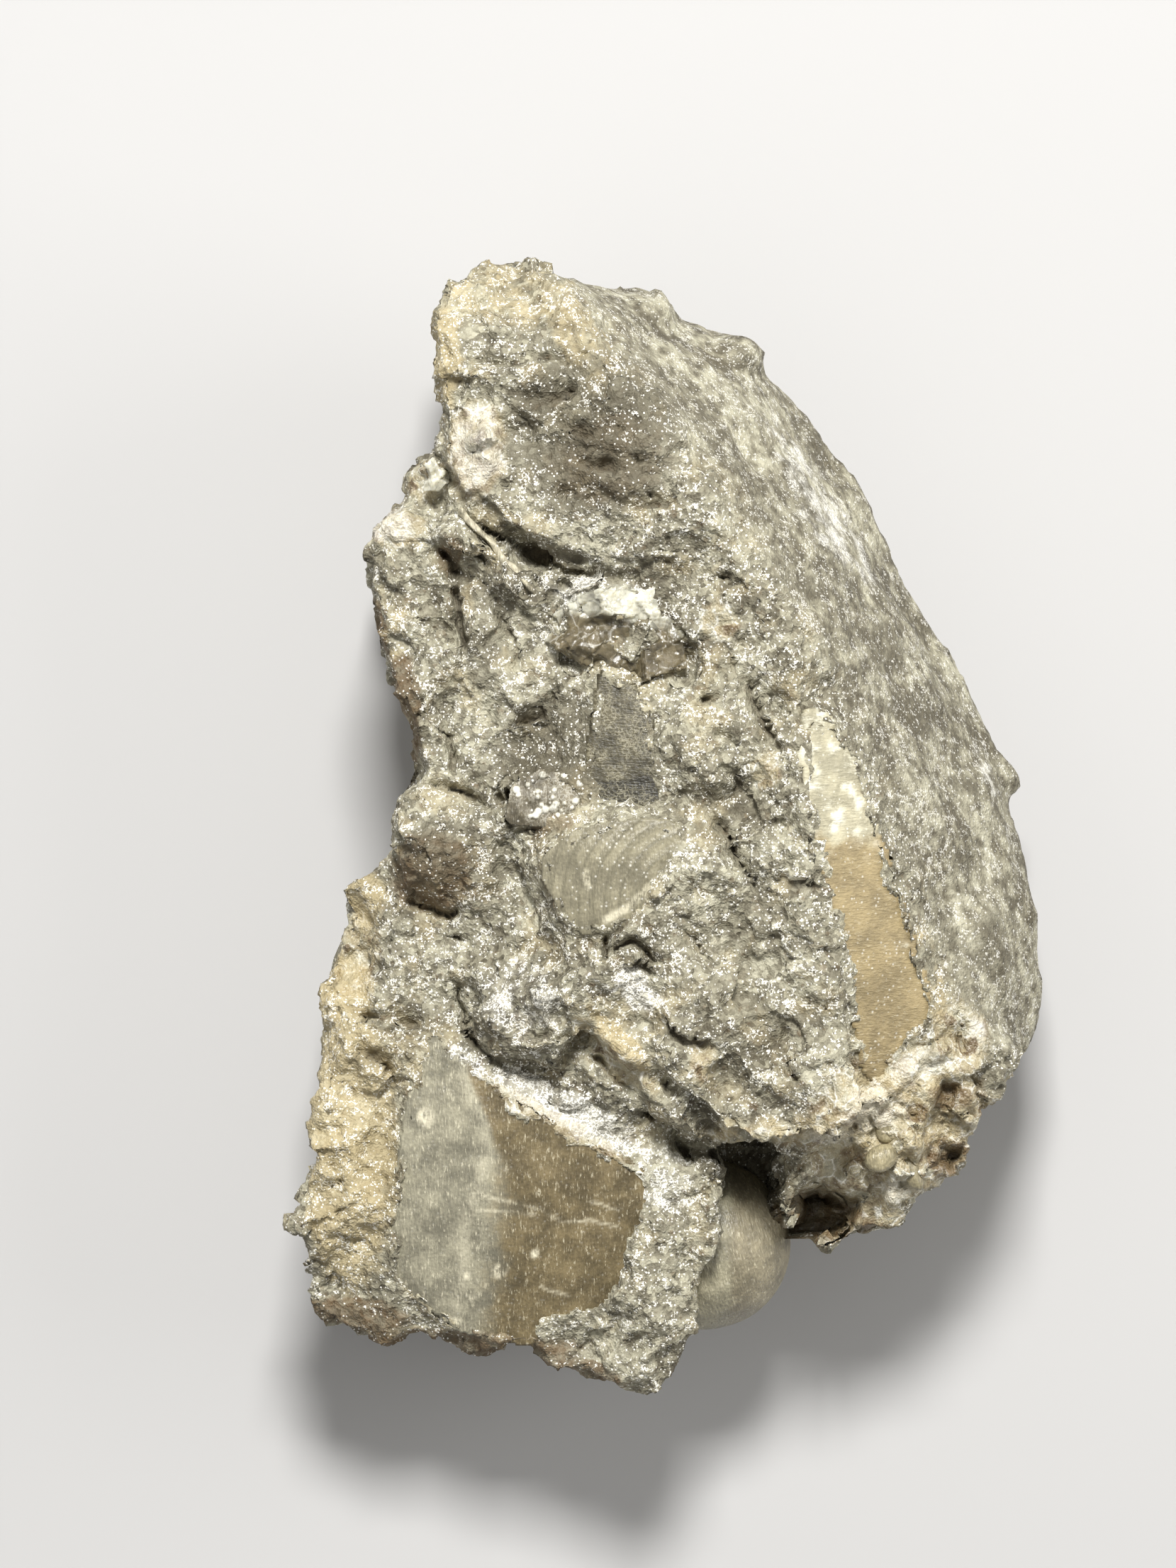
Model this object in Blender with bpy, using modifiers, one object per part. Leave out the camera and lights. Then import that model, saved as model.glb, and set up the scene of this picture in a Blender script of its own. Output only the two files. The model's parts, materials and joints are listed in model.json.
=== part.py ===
"""Trilobite shell pieces in a chunk of limestone, modelled as the chunk lies on a table.

Units are metres. +Z is up, +Y runs along the chunk's length and the origin is under its middle.
The places below are written in millimetres and turned into metres where the meshes are made.
"""

import math

import bmesh
import bpy
from mathutils import Matrix, Vector, noise

MM = 0.001
GAP = 0.3  # clearance between a shell piece and the pocket it lies in
HEADROOM = 4.0  # how far the tool that cuts a pocket reaches over the piece

# Rock: how fine it is worked and how rough it ends up
VOXEL = 0.38
SMOOTH_STEPS = 2
LUMP_SIZE, LUMP_RISE = 4.0, 0.5
FACET_SIZES = ((3.1, 0.95), (1.35, 0.55))  # how wide the broken facets are and how far they tilt
UNDERSIDE_FACETS = (6.5, 2.6)
UNDERSIDE_TOP, UNDERSIDE_DEPTH = 9.0, 6.0  # level where the underside's facets begin, and their full depth
FLANK_CALM = 0.45  # share of the roughness left on the weathered flank
SIDE_CALM = 0.6  # share left on upright faces, which keep the chunk's outline
ROCK_TRIANGLES = 5800
BASE_LEVEL = 0.0

# Domed shell
DOME_CENTRE = (1.15, -16.45, 7.6)
DOME_SIZES = (3.3, 3.3, 3.3)

# Outline of the whole chunk, seen from above, clockwise from the top
RIM = [
    (-7.0, 22.45), (-4.4, 22.0), (-3.6, 21.4), (-1.6, 21.7), (0.2, 20.8), (0.6, 19.7), (2.6, 19.75),
    (4.2, 18.0), (5.8, 16.0), (7.3, 13.6), (8.8, 11.0), (10.1, 8.7), (11.3, 6.0), (12.6, 4.0),
    (13.75, 1.7), (14.8, -1.8), (15.1, -4.8), (15.0, -6.3), (13.6, -8.0), (13.4, -10.1), (12.2, -10.95),
    (12.2, -12.0), (10.9, -13.7), (9.4, -14.9), (7.9, -16.1), (5.8, -16.75), (4.4, -16.5), (3.2, -18.4),
    (1.1, -20.2), (-0.8, -22.3), (-2.6, -22.1), (-5.2, -21.2), (-7.3, -20.3), (-8.6, -20.9),
    (-11.5, -20.5), (-13.9, -19.9), (-15.1, -17.8), (-15.0, -12.5), (-14.0, -9.6), (-14.4, -5.8),
    (-13.2, -4.0), (-13.4, -2.3), (-11.6, -0.6), (-11.6, 1.0), (-10.3, 2.6), (-11.4, 6.3), (-12.2, 9.4),
    (-12.3, 11.6), (-10.6, 12.8), (-9.6, 15.0), (-9.6, 18.4), (-9.9, 20.3), (-8.6, 21.8),
]

# Three lines along the ridge and the weathered flank beside it: (x, y, z), from the top end down
CREST = [
    (-6.4, 21.3, 14.6), (-4.9, 19.3, 16.7), (-3.0, 17.0, 17.3), (-1.3, 15.0, 17.5), (0.6, 12.4, 17.6),
    (2.4, 9.5, 17.5), (3.9, 7.0, 17.5), (4.7, 4.5, 17.5), (4.9, 2.4, 17.3), (5.3, 0.2, 17.1),
    (5.9, -1.5, 16.9), (6.3, -3.3, 16.5), (6.7, -5.0, 16.0), (6.9, -7.0, 15.3), (7.2, -9.0, 14.4),
]
RIDGE = [
    (-5.4, 21.8, 13.6), (-3.7, 20.0, 15.6), (-2.0, 17.8, 16.4), (-0.3, 15.8, 16.8), (1.7, 13.2, 16.8),
    (3.6, 10.3, 16.8), (5.2, 7.6, 16.7), (6.3, 4.8, 16.4), (7.0, 2.4, 16.0), (7.7, 0.0, 15.7),
    (8.4, -2.0, 15.3), (9.0, -4.0, 14.8), (9.6, -6.0, 14.2), (10.2, -7.6, 13.5), (10.8, -9.0, 12.7),
]
FLANK_FOOT = [
    (-3.4, 21.7, 8.5), (-1.3, 22.0, 7.2), (0.9, 20.3, 6.4), (2.8, 20.1, 6.0), (5.0, 17.4, 6.0),
    (7.3, 13.8, 6.0), (9.3, 10.3, 5.8), (11.0, 7.1, 5.6), (12.5, 4.1, 5.6), (13.9, 1.4, 5.8),
    (15.1, -1.4, 6.2), (15.5, -3.7, 6.6), (15.5, -5.7, 7.0), (14.8, -7.6, 7.8), (13.9, -9.3, 8.8),
]
FLANK_STEPS = 4
FLANK_BULGE = 1.3

# Blocks of the rock: outline, a point of the top with its height, rise along x and y, level of the
# underside and how far the underside draws in
BLOCKS = {
    "crown": (
        [(-9.6, 15.8), (-9.6, 18.4), (-9.85, 20.0), (-4.6, 20.0), (-2.4, 18.2), (-0.6, 15.8), (1.2, 13.0),
         (2.2, 11.5), (1.0, 11.1), (-0.6, 10.9), (-2.5, 10.9), (-4.7, 11.1), (-6.2, 11.4), (-7.2, 12.1),
         (-8.3, 12.9), (-9.0, 13.9)],
        (-4.0, 15.0, 16.9), (0.16, -0.02), 12.4, 0.9,
    ),
    "crown_core": (
        [(-9.3, 14.8), (-9.3, 19.8), (-4.4, 19.6), (-0.4, 15.4), (1.6, 11.8), (-6.8, 12.3), (-8.6, 13.8)],
        (-4.0, 15.0, 16.0), (0.1, 0.0), 3.5, 0.95,
    ),
    "cap": (
        [(-9.7, 19.5), (-10.0, 20.1), (-9.3, 21.1), (-8.2, 22.25), (-7.0, 22.45), (-5.9, 22.4),
         (-4.9, 22.0), (-4.2, 20.9), (-4.0, 19.6)],
        (-6.0, 19.7, 16.3), (0.1, -1.15), 5.0, 0.93,
    ),
    "upper_core": (
        [(-5.9, 11.6), (3.0, 11.0), (4.4, 7.0), (5.0, 4.0), (5.4, 0.0), (6.4, -3.0), (-1.0, -2.0),
         (-5.2, -1.2), (-6.7, 0.4), (-6.6, 2.0), (-5.9, 5.0), (-5.8, 8.8)],
        (0.0, 5.0, 16.1), (0.2, 0.05), 3.0, 0.96,
    ),
    "brown_bay": (
        [(-8.5, 10.2), (-6.6, 10.6), (-5.2, 9.4), (-4.8, 5.0), (-5.6, 1.6), (-7.2, 1.5), (-8.5, 2.0),
         (-8.7, 4.2), (-8.0, 6.4), (-8.2, 8.6)],
        (-7.0, 6.0, 14.9), (0.08, 0.08), 3.0, 0.95,
    ),
    "left_wall": (
        [(-12.2, 9.5), (-12.4, 11.3), (-12.0, 12.3), (-10.6, 12.8), (-9.5, 12.5), (-9.2, 11.6),
         (-9.4, 10.9), (-8.8, 9.9), (-8.6, 8.4), (-8.5, 7.0), (-9.0, 5.6), (-9.2, 4.0), (-8.9, 2.1),
         (-9.9, 1.9), (-10.4, 2.9), (-10.7, 4.4), (-11.5, 6.4), (-11.9, 8.3)],
        (-10.6, 8.0, 14.3), (0.22, 0.05), 3.5, 0.93,
    ),
    "wall_foot": (
        [(-11.6, 8.6), (-12.0, 11.4), (-10.4, 12.6), (-9.2, 14.8), (-6.0, 14.0), (-6.0, 0.0),
         (-9.8, 1.2), (-10.2, 2.8), (-11.2, 6.6)],
        (-9.0, 8.0, 12.6), (0.1, 0.0), 2.5, 0.92,
    ),
    "corner_knob": (
        [(-10.6, 13.2), (-10.65, 14.0), (-9.9, 14.6), (-9.2, 15.2), (-8.6, 14.2), (-9.0, 12.9)],
        (-9.8, 13.8, 13.7), (0.3, 0.1), 8.0, 0.9,
    ),
    "left_lump": (
        [(-11.7, 0.9), (-10.8, 1.8), (-9.0, 1.7), (-8.1, 1.1), (-6.9, 0.2), (-7.0, -1.5), (-8.0, -2.9),
         (-9.2, -3.0), (-10.3, -2.7), (-10.7, -2.0), (-11.4, -0.9)],
        (-9.3, -0.5, 14.1), (0.12, 0.16), 4.0, 0.9,
    ),
    "left_shelf": (
        [(-13.5, -2.2), (-12.4, -1.5), (-11.2, -0.7), (-6.6, -0.3), (-4.6, -1.2), (-4.2, -9.0),
         (-8.0, -9.4), (-12.4, -8.8), (-14.0, -9.6), (-14.2, -7.2), (-14.5, -6.0), (-13.8, -4.5),
         (-13.1, -3.95), (-13.5, -2.9)],
        (-8.0, -5.0, 13.2), (0.34, 0.02), 3.5, 0.94,
    ),
    "round_lump": (
        [(-8.0, -5.2), (-8.3, -6.2), (-8.1, -7.7), (-7.8, -8.6), (-7.0, -9.1), (-6.0, -9.5), (-5.0, -9.4),
         (-4.2, -8.9), (-3.4, -7.6), (-4.0, -4.6), (-6.0, -4.2)],
        (-6.0, -6.5, 14.7), (0.3, 0.0), 8.0, 0.92,
    ),
    "middle_block": (
        [(-5.1, -1.0), (-4.0, -0.1), (-3.0, 0.2), (-1.5, 0.4), (0.5, 0.4), (5.4, 0.4), (6.4, -3.2),
         (6.9, -7.0), (7.2, -9.4), (7.4, -11.0), (6.3, -12.2), (5.7, -12.1), (3.5, -12.4), (2.0, -12.3),
         (1.2, -11.7), (0.5, -11.1), (-0.5, -9.6), (-1.4, -9.1), (-2.2, -8.2), (-3.0, -7.4),
         (-4.0, -7.0), (-4.4, -5.6), (-4.7, -3.2)],
        (3.0, -4.0, 16.9), (0.11, 0.11), 12.6, 0.9,
    ),
    "middle_foot": (
        [(-4.2, -1.4), (5.8, -0.4), (7.2, -9.8), (6.6, -11.4), (3.2, -11.6), (1.0, -10.6), (-3.6, -6.6)],
        (3.0, -4.0, 15.8), (0.1, 0.1), 3.0, 0.94,
    ),
    "lower_slab": (
        [(-13.9, -8.4), (-14.3, -10.2), (-15.0, -12.8), (-15.15, -17.2), (-14.8, -18.8), (-13.9, -19.9),
         (-12.3, -20.1), (-11.6, -20.75), (-11.0, -20.2), (-9.6, -20.1), (-8.7, -20.95), (-7.6, -21.0),
         (-7.2, -20.2), (-6.0, -20.35), (-5.0, -21.4), (-3.0, -21.8), (-1.6, -22.45), (-0.6, -22.2),
         (0.2, -21.4), (1.05, -20.4), (1.3, -18.8), (1.6, -17.6), (2.1, -16.4), (2.0, -15.0),
         (2.4, -13.8), (2.4, -12.4), (0.8, -11.4), (-1.0, -9.8), (-3.4, -8.4), (-6.0, -8.6),
         (-9.0, -7.6)],
        (-6.0, -13.0, 12.6), (0.12, 0.22), 4.0, 0.84,
    ),
    "nodules": (
        [(6.9, -8.6), (8.5, -8.0), (10.2, -7.4), (11.8, -7.0), (13.7, -8.0), (13.4, -9.2), (13.45, -10.1),
         (12.9, -10.6), (12.15, -11.0), (12.25, -11.9), (11.4, -12.6), (10.9, -13.7), (10.0, -14.3),
         (8.8, -15.4), (7.9, -16.1), (6.6, -16.5), (5.8, -16.75), (4.9, -16.75), (4.4, -15.6),
         (3.8, -14.4), (3.2, -13.0), (4.6, -11.2), (6.6, -10.4)],
        (8.0, -11.0, 13.3), (-0.3, 0.32), 4.5, 0.86,
    ),
}

# Rounded swellings on the blocks: centre and half sizes
SWELLINGS = [
    ((8.3, -12.4, 12.0), (1.9, 1.5, 1.5)),
    ((5.4, -12.9, 12.3), (1.7, 0.9, 1.3)),
    ((11.2, -9.0, 12.0), (1.5, 1.7, 1.4)),
    ((10.4, -12.2, 11.2), (1.3, 1.1, 1.2)),
    ((7.2, -15.2, 10.4), (2.6, 1.3, 1.8)),
    ((-12.6, -2.6, 10.9), (1.35, 1.3, 1.5)),
    ((-12.6, -7.2, 11.8), (1.6, 1.4, 1.0)),
    ((-13.4, -12.0, 11.3), (1.3, 2.4, 0.9)),
    ((-3.0, -20.2, 10.6), (2.8, 1.5, 1.2)),
    ((-1.0, -18.0, 11.6), (2.0, 2.6, 1.0)),
    ((-7.6, 14.8, 16.2), (1.3, 1.9, 0.8)),
    ((-9.6, -0.4, 14.0), (1.6, 1.6, 0.9)),
    ((-6.0, -7.0, 14.6), (1.9, 1.9, 0.9)),
    ((2.0, 3.0, 16.3), (2.4, 2.6, 0.9)),
    ((1.5, -8.0, 16.0), (2.6, 2.0, 0.8)),
]

# Hollows worked into the rock: centre, half sizes and turn about the vertical in degrees
HOLLOWS = [
    ((-4.3, 10.75, 15.6), (1.9, 0.55, 1.3), 2),
    ((-9.0, 10.6, 13.6), (0.6, 0.75, 1.6), -15),
    ((-8.5, 7.6, 14.6), (0.35, 2.2, 1.0), 4),
    ((-8.9, 4.0, 14.3), (0.35, 1.9, 0.9), -4),
    ((-5.6, 0.1, 15.6), (1.7, 0.35, 0.8), 8),
    ((-9.8, -3.1, 12.9), (1.5, 0.45, 1.3), -12),
    ((-8.3, -7.3, 13.6), (0.35, 1.7, 1.0), 8),
    ((-6.0, -9.5, 13.4), (2.0, 0.4, 1.1), -6),
    ((-2.7, -9.7, 12.5), (2.3, 0.5, 1.0), -38),
    ((0.4, -12.2, 12.8), (1.3, 0.5, 1.3), -42),
    ((3.0, -13.1, 12.4), (1.5, 0.8, 1.9), -12),
    ((5.5, -15.3, 11.6), (1.3, 0.8, 1.9), -12),
    ((10.7, -12.9, 11.8), (0.9, 0.6, 1.2), 20),
    ((10.6, -10.3, 13.2), (0.8, 0.55, 1.0), -15),
    ((1.8, 10.1, 17.6), (0.45, 0.4, 0.9), 0),
    ((-0.6, 4.9, 16.1), (0.5, 0.4, 0.8), 0),
    ((5.3, 9.7, 16.0), (0.9, 0.8, 0.8), 0),
    ((2.4, -1.0, 17.1), (0.35, 1.6, 0.7), 24),
    ((10.4, -2.4, 14.0), (0.5, 0.6, 0.8), 0),
    ((-13.4, -13.4, 11.6), (0.4, 0.9, 0.8), 20),
    ((8.2, 7.2, 13.4), (0.8, 1.1, 0.7), 30),
    ((9.6, 4.4, 12.9), (0.7, 0.9, 0.7), 30),
    ((2.9, 15.2, 13.2), (0.7, 1.2, 0.7), 25),
    ((12.2, -1.6, 11.4), (0.7, 1.2, 0.7), 10),
    ((6.4, 12.6, 11.0), (0.8, 1.4, 0.6), 28),
    ((11.4, -7.6, 12.8), (0.35, 1.3, 0.7), 12),
]

# Shell pieces: outlines as they show on the rock
PLATE = [
    (-9.5, -8.2), (-10.1, -9.6), (-10.5, -11.6), (-10.8, -13.5), (-11.0, -15.5), (-11.0, -17.4),
    (-10.3, -18.2), (-9.2, -18.9), (-8.3, -19.5), (-7.0, -19.8), (-5.9, -19.7), (-5.2, -19.1),
    (-3.8, -18.9), (-2.8, -18.3), (-2.1, -17.1), (-1.8, -15.9), (-1.4, -14.8), (-1.4, -13.7),
    (-2.6, -12.9), (-3.9, -12.2), (-5.2, -11.5), (-6.4, -11.0), (-7.3, -10.2), (-8.3, -9.3),
]
RIBBED = [
    (-4.9, -1.2), (-4.1, -0.4), (-3.0, -0.1), (-1.5, 0.0), (-0.5, 0.0), (-0.2, -0.5), (-0.8, -1.7),
    (-1.6, -2.9), (-2.3, -3.4), (-3.4, -3.6), (-4.1, -3.2), (-4.5, -2.4),
]
GREY_STRIP = [
    (-3.0, 5.9), (-2.0, 5.4), (-1.4, 4.4), (-1.2, 3.0), (-1.0, 1.4), (-2.8, 1.3), (-3.2, 2.2), (-3.2, 4.2),
]
BUFF = [
    (5.2, 4.3), (5.05, 2.9), (5.25, 1.5), (5.6, -0.2), (6.2, -2.8), (6.7, -4.6), (7.0, -6.5),
    (7.3, -8.2), (7.8, -9.2), (8.4, -8.8), (9.0, -7.9), (9.8, -7.1), (9.6, -6.2), (9.1, -5.0),
    (8.7, -3.6), (8.1, -2.4), (7.9, -1.0), (7.3, 0.6), (6.7, 2.4), (5.9, 4.1),
]
SLIVER = [(-9.2, 12.5), (-8.5, 11.3), (-7.5, 10.7), (-6.4, 10.0), (-5.4, 9.1)]
SLIVER_WIDTH = 0.35
SLIVER_LIE = ((-7.4, 10.7, 15.5), (0.1, -0.02))
SLIVER_DEPTH = 1.6

# Each shell piece: outline, its highest point, rise along x and y, fall towards its rim, the distance
# over which it falls, and its thickness
SHELL_PIECES = {
    "shell_plate": (PLATE, (-6.6, -14.6, 12.75), (0.1, 0.2), 0.45, 5.0, 0.9),
    "ribbed_shell": (RIBBED, (-2.5, -1.6, 16.75), (0.11, 0.1), 0.3, 2.5, 0.7),
    "grey_shell": (GREY_STRIP, (-2.1, 3.4, 15.85), (0.15, 0.03), 0.1, 2.0, 0.6),
}

BUFF_PROUD, BUFF_DEPTH = 0.25, 0.8  # how far the buff strip stands over the ridge's slope, and its thickness

BEADED = [(-6.3, 0.9), (-6.1, 1.7), (-5.3, 2.2), (-4.3, 2.0), (-3.7, 1.4), (-4.1, 0.95), (-5.2, 0.75)]
BEADED_LIE = ((-5.0, 1.4, 15.1), (0.1, -0.05))
BEADED_DEPTH = 0.6
BEAD_RADIUS = 0.2
BEADS = [(-5.75, 1.15), (-5.2, 1.15), (-4.6, 1.25), (-5.5, 1.65), (-4.95, 1.75), (-4.3, 1.6)]

# Calcite crystals: outline of the crust, level of its floor and thickness of its root
CRUST = [
    (-5.1, 8.4), (-4.6, 9.4), (-3.0, 9.8), (-0.6, 9.6), (-0.4, 8.2), (0.3, 7.2), (0.2, 6.1), (-1.4, 6.2),
    (-2.6, 5.9), (-3.8, 6.5), (-4.9, 7.3),
]
CRUST_FLOOR = 14.7
CRUST_ROOT = 0.6

# Each crystal: its middle, length of its edge, and its turn about the three axes in degrees
CRYSTALS = [
    ((-3.7, 8.8, 15.7), 1.55, (20, -14, 20)),
    ((-2.3, 8.9, 15.8), 1.6, (-12, 18, 50)),
    ((-1.1, 8.7, 15.7), 1.4, (14, 8, -10)),
    ((-4.3, 7.9, 15.2), 1.4, (30, 24, 8)),
    ((-3.1, 7.5, 15.4), 1.6, (-22, 12, 32)),
    ((-1.9, 7.5, 15.6), 1.5, (16, -24, -18)),
    ((-0.6, 7.4, 15.7), 1.5, (-16, 10, 24)),
    ((-2.6, 6.6, 15.2), 1.2, (10, 22, 14)),
    ((-0.7, 6.5, 15.6), 1.2, (24, 20, 40)),
]
CRYSTAL_LEAN = 0.27

# Finishes: colour, roughness
FINISHES = {
    "limestone_matrix": ((0.45, 0.42, 0.36), 0.75),
    "shell_plate": ((0.36, 0.32, 0.22), 0.35),
    "domed_shell": ((0.32, 0.3, 0.22), 0.3),
    "buff_shell": ((0.58, 0.47, 0.28), 0.45),
    "ribbed_shell": ((0.38, 0.36, 0.28), 0.4),
    "grey_shell": ((0.2, 0.2, 0.18), 0.4),
    "beaded_shell": ((0.5, 0.48, 0.42), 0.5),
    "shell_sliver": ((0.5, 0.46, 0.38), 0.5),
    "calcite_crystals": ((0.6, 0.55, 0.44), 0.2),
}


def clear_scene():
    """Remove whatever the scene holds."""
    for obj in list(bpy.data.objects):
        bpy.data.objects.remove(obj, do_unlink=True)


def collection(name):
    """Make a collection of the scene."""
    made = bpy.data.collections.new(name)
    bpy.context.scene.collection.children.link(made)
    return made


def finish(obj, name):
    """Give an object its own Principled material."""
    colour, roughness = FINISHES[name]
    material = bpy.data.materials.new(name)
    material.use_nodes = True
    shader = material.node_tree.nodes["Principled BSDF"]
    shader.inputs["Base Color"].default_value = (*colour, 1.0)
    shader.inputs["Roughness"].default_value = roughness
    shader.inputs["Metallic"].default_value = 0.0
    obj.data.materials.clear()
    obj.data.materials.append(material)


def object_from(bm, name, home):
    """Turn a bmesh worked in millimetres into an object in metres."""
    bmesh.ops.scale(bm, vec=(MM, MM, MM), verts=bm.verts)
    bmesh.ops.recalc_face_normals(bm, faces=bm.faces)
    mesh = bpy.data.meshes.new(name)
    bm.to_mesh(mesh)
    bm.free()
    obj = bpy.data.objects.new(name, mesh)
    home.objects.link(obj)
    return obj


def evaluated(obj):
    """Replace an object's mesh by what its modifiers make of it."""
    graph = bpy.context.evaluated_depsgraph_get()
    mesh = bpy.data.meshes.new_from_object(obj.evaluated_get(graph), depsgraph=graph)
    obj.modifiers.clear()
    obj.data = mesh


def combine(obj, other, operation):
    """Join another solid to an object or cut it away, at once."""
    cut = obj.modifiers.new(operation.title(), "BOOLEAN")
    cut.operation = operation
    cut.solver = "EXACT"
    cut.object = other
    evaluated(obj)


def prism(name, outline, home):
    """A flat outline as a solid from level 0 to level 1, in millimetres, as a bmesh."""
    curve = bpy.data.curves.new(name, "CURVE")
    curve.dimensions = "2D"
    curve.fill_mode = "BOTH"
    curve.extrude = 0.5
    spline = curve.splines.new("POLY")
    spline.points.add(len(outline) - 1)
    for point, (x, y) in zip(spline.points, outline):
        point.co = (x, y, 0.0, 1.0)
    spline.use_cyclic_u = True
    obj = bpy.data.objects.new(name, curve)
    home.objects.link(obj)
    graph = bpy.context.evaluated_depsgraph_get()
    mesh = bpy.data.meshes.new_from_object(obj.evaluated_get(graph), depsgraph=graph)
    bm = bmesh.new()
    bm.from_mesh(mesh)
    bmesh.ops.remove_doubles(bm, verts=bm.verts, dist=0.0001)
    bmesh.ops.translate(bm, vec=(0.0, 0.0, 0.5), verts=bm.verts)
    bpy.data.objects.remove(obj, do_unlink=True)
    bpy.data.meshes.remove(mesh)
    return bm


def middle(outline):
    """Mean of an outline's points."""
    count = len(outline)
    return Vector((sum(p[0] for p in outline) / count, sum(p[1] for p in outline) / count))


def grown(outline, by):
    """An outline moved outwards by a distance, point by point."""
    area = sum(a[0] * b[1] - b[0] * a[1] for a, b in zip(outline, outline[1:] + outline[:1]))
    side = 1.0 if area < 0 else -1.0
    points = []
    for before, point, after in zip(outline[-1:] + outline[:-1], outline, outline[1:] + outline[:1]):
        along_in = (Vector(point) - Vector(before)).normalized()
        along_out = (Vector(after) - Vector(point)).normalized()
        outward = Vector((-(along_in.y + along_out.y), along_in.x + along_out.x)).normalized() * side
        points.append(tuple(Vector(point) + outward * by))
    return points


def block(name, outline, crest, rise, floor, draw_in, home):
    """A slab of rock: an outline with a tilted top and an underside drawn in towards its middle."""
    bm = prism(name, outline, home)
    centre = middle(outline)
    for vert in bm.verts:
        if vert.co.z > 0.5:
            vert.co.z = crest[2] + rise[0] * (vert.co.x - crest[0]) + rise[1] * (vert.co.y - crest[1])
        else:
            vert.co.xy = centre + (vert.co.xy - centre) * draw_in
            vert.co.z = floor
    return object_from(bm, name, home)


def belly(home):
    """The broken underside: the whole outline, drawn in step by step down to the base."""
    levels = [(8.6, 0.94), (5.6, 0.93), (3.2, 0.84), (1.2, 0.7), (-1.6, 0.5)]
    centre = middle(RIM)
    bm = bmesh.new()
    rings = []
    for z, share in levels:
        ring = []
        for x, y in RIM:
            away = Vector((x, y)) - centre
            wave = 1.0 + 0.05 * math.sin(3.0 * math.atan2(away.y, away.x) + z)
            spot = centre + away * share * (wave if z < 5.0 else 1.0)
            ring.append(bm.verts.new((spot.x, spot.y, z)))
        rings.append(ring)
    for upper, lower in zip(rings, rings[1:]):
        for i in range(len(upper)):
            j = (i + 1) % len(upper)
            bm.faces.new((upper[i], upper[j], lower[j], lower[i]))
    bm.faces.new(rings[0])
    bm.faces.new(list(reversed(rings[-1])))
    return object_from(bm, "belly", home)


def flank(home):
    """The ridge and the weathered flank: a loft from the crest over the ridge down to the foot."""
    bm = bmesh.new()
    sections = []
    for crest, ridge, foot in zip(CREST, RIDGE, FLANK_FOOT):
        crest, ridge, foot = Vector(crest), Vector(ridge), Vector(foot)
        section = [crest, ridge]
        for step in range(1, FLANK_STEPS):
            share = step / FLANK_STEPS
            spot = ridge.lerp(foot, share)
            spot.z += FLANK_BULGE * math.sin(math.pi * share)
            section.append(spot)
        section.append(foot)
        section.append(Vector((foot.x * 0.9, foot.y * 0.9, 3.0)))
        section.append(Vector((crest.x - 3.0, crest.y * 0.9, 3.0)))
        section.append(Vector((crest.x - 3.0, crest.y, crest.z - 3.0)))
        sections.append([bm.verts.new(spot) for spot in section])
    for first, second in zip(sections, sections[1:]):
        for i in range(len(first)):
            j = (i + 1) % len(first)
            bm.faces.new((first[i], first[j], second[j], second[i]))
    bm.faces.new(sections[0])
    bm.faces.new(list(reversed(sections[-1])))
    return object_from(bm, "flank", home)


def ellipsoid(name, centre, sizes, home, turn=0.0, rounds=14):
    """A rounded form with three half sizes, turned about the vertical."""
    bm = bmesh.new()
    bmesh.ops.create_uvsphere(bm, u_segments=rounds, v_segments=rounds // 2, radius=1.0)
    place = Matrix.Translation(centre) @ Matrix.Rotation(math.radians(turn), 4, "Z")
    bmesh.ops.transform(bm, matrix=place @ Matrix.Diagonal((*sizes, 1.0)), verts=bm.verts)
    return object_from(bm, name, home)


def box(name, low, high, home):
    """A box between two corners."""
    bm = bmesh.new()
    bmesh.ops.create_cube(bm, size=1.0)
    size = Vector(high) - Vector(low)
    place = Matrix.Translation((Vector(high) + Vector(low)) / 2)
    bmesh.ops.transform(bm, matrix=place @ Matrix.Diagonal((*size, 1.0)), verts=bm.verts)
    return object_from(bm, name, home)


def joined(objects, name, home):
    """Several closed forms in one mesh, still overlapping."""
    bm = bmesh.new()
    for obj in objects:
        bm.from_mesh(obj.data)
        bpy.data.objects.remove(obj, do_unlink=True)
    mesh = bpy.data.meshes.new(name)
    bm.to_mesh(mesh)
    bm.free()
    obj = bpy.data.objects.new(name, mesh)
    home.objects.link(obj)
    return obj


def one_skin(obj, voxel):
    """Fuse overlapping forms into one closed skin."""
    skin = obj.modifiers.new("Skin", "REMESH")
    skin.mode = "VOXEL"
    skin.voxel_size = voxel * MM
    skin.adaptivity = 0.0
    evaluated(obj)


def outer_skin(obj):
    """Keep the largest closed skin of a mesh and drop chips and sealed hollows."""
    bm = bmesh.new()
    bm.from_mesh(obj.data)
    unseen = set(bm.verts)
    skins = []
    while unseen:
        front = [unseen.pop()]
        skin = list(front)
        while front:
            vert = front.pop()
            for edge in vert.link_edges:
                other = edge.other_vert(vert)
                if other in unseen:
                    unseen.remove(other)
                    front.append(other)
                    skin.append(other)
        skins.append(skin)
    skins.sort(key=len)
    for skin in skins[:-1]:
        bmesh.ops.delete(bm, geom=skin, context="VERTS")
    bm.to_mesh(obj.data)
    bm.free()


def facet(spot, size, rise):
    """Height of broken facets at a spot: each cell of the stone is a plane with a tilt of its own."""
    near = noise.voronoi(spot / size)[1][0]
    tilt = noise.cell_vector(near * 7.3) - Vector((0.5, 0.5, 0.5))
    step = noise.cell(near * 5.1) - 0.5
    return rise * (tilt.dot(spot / size - near) + 0.35 * step)


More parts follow.
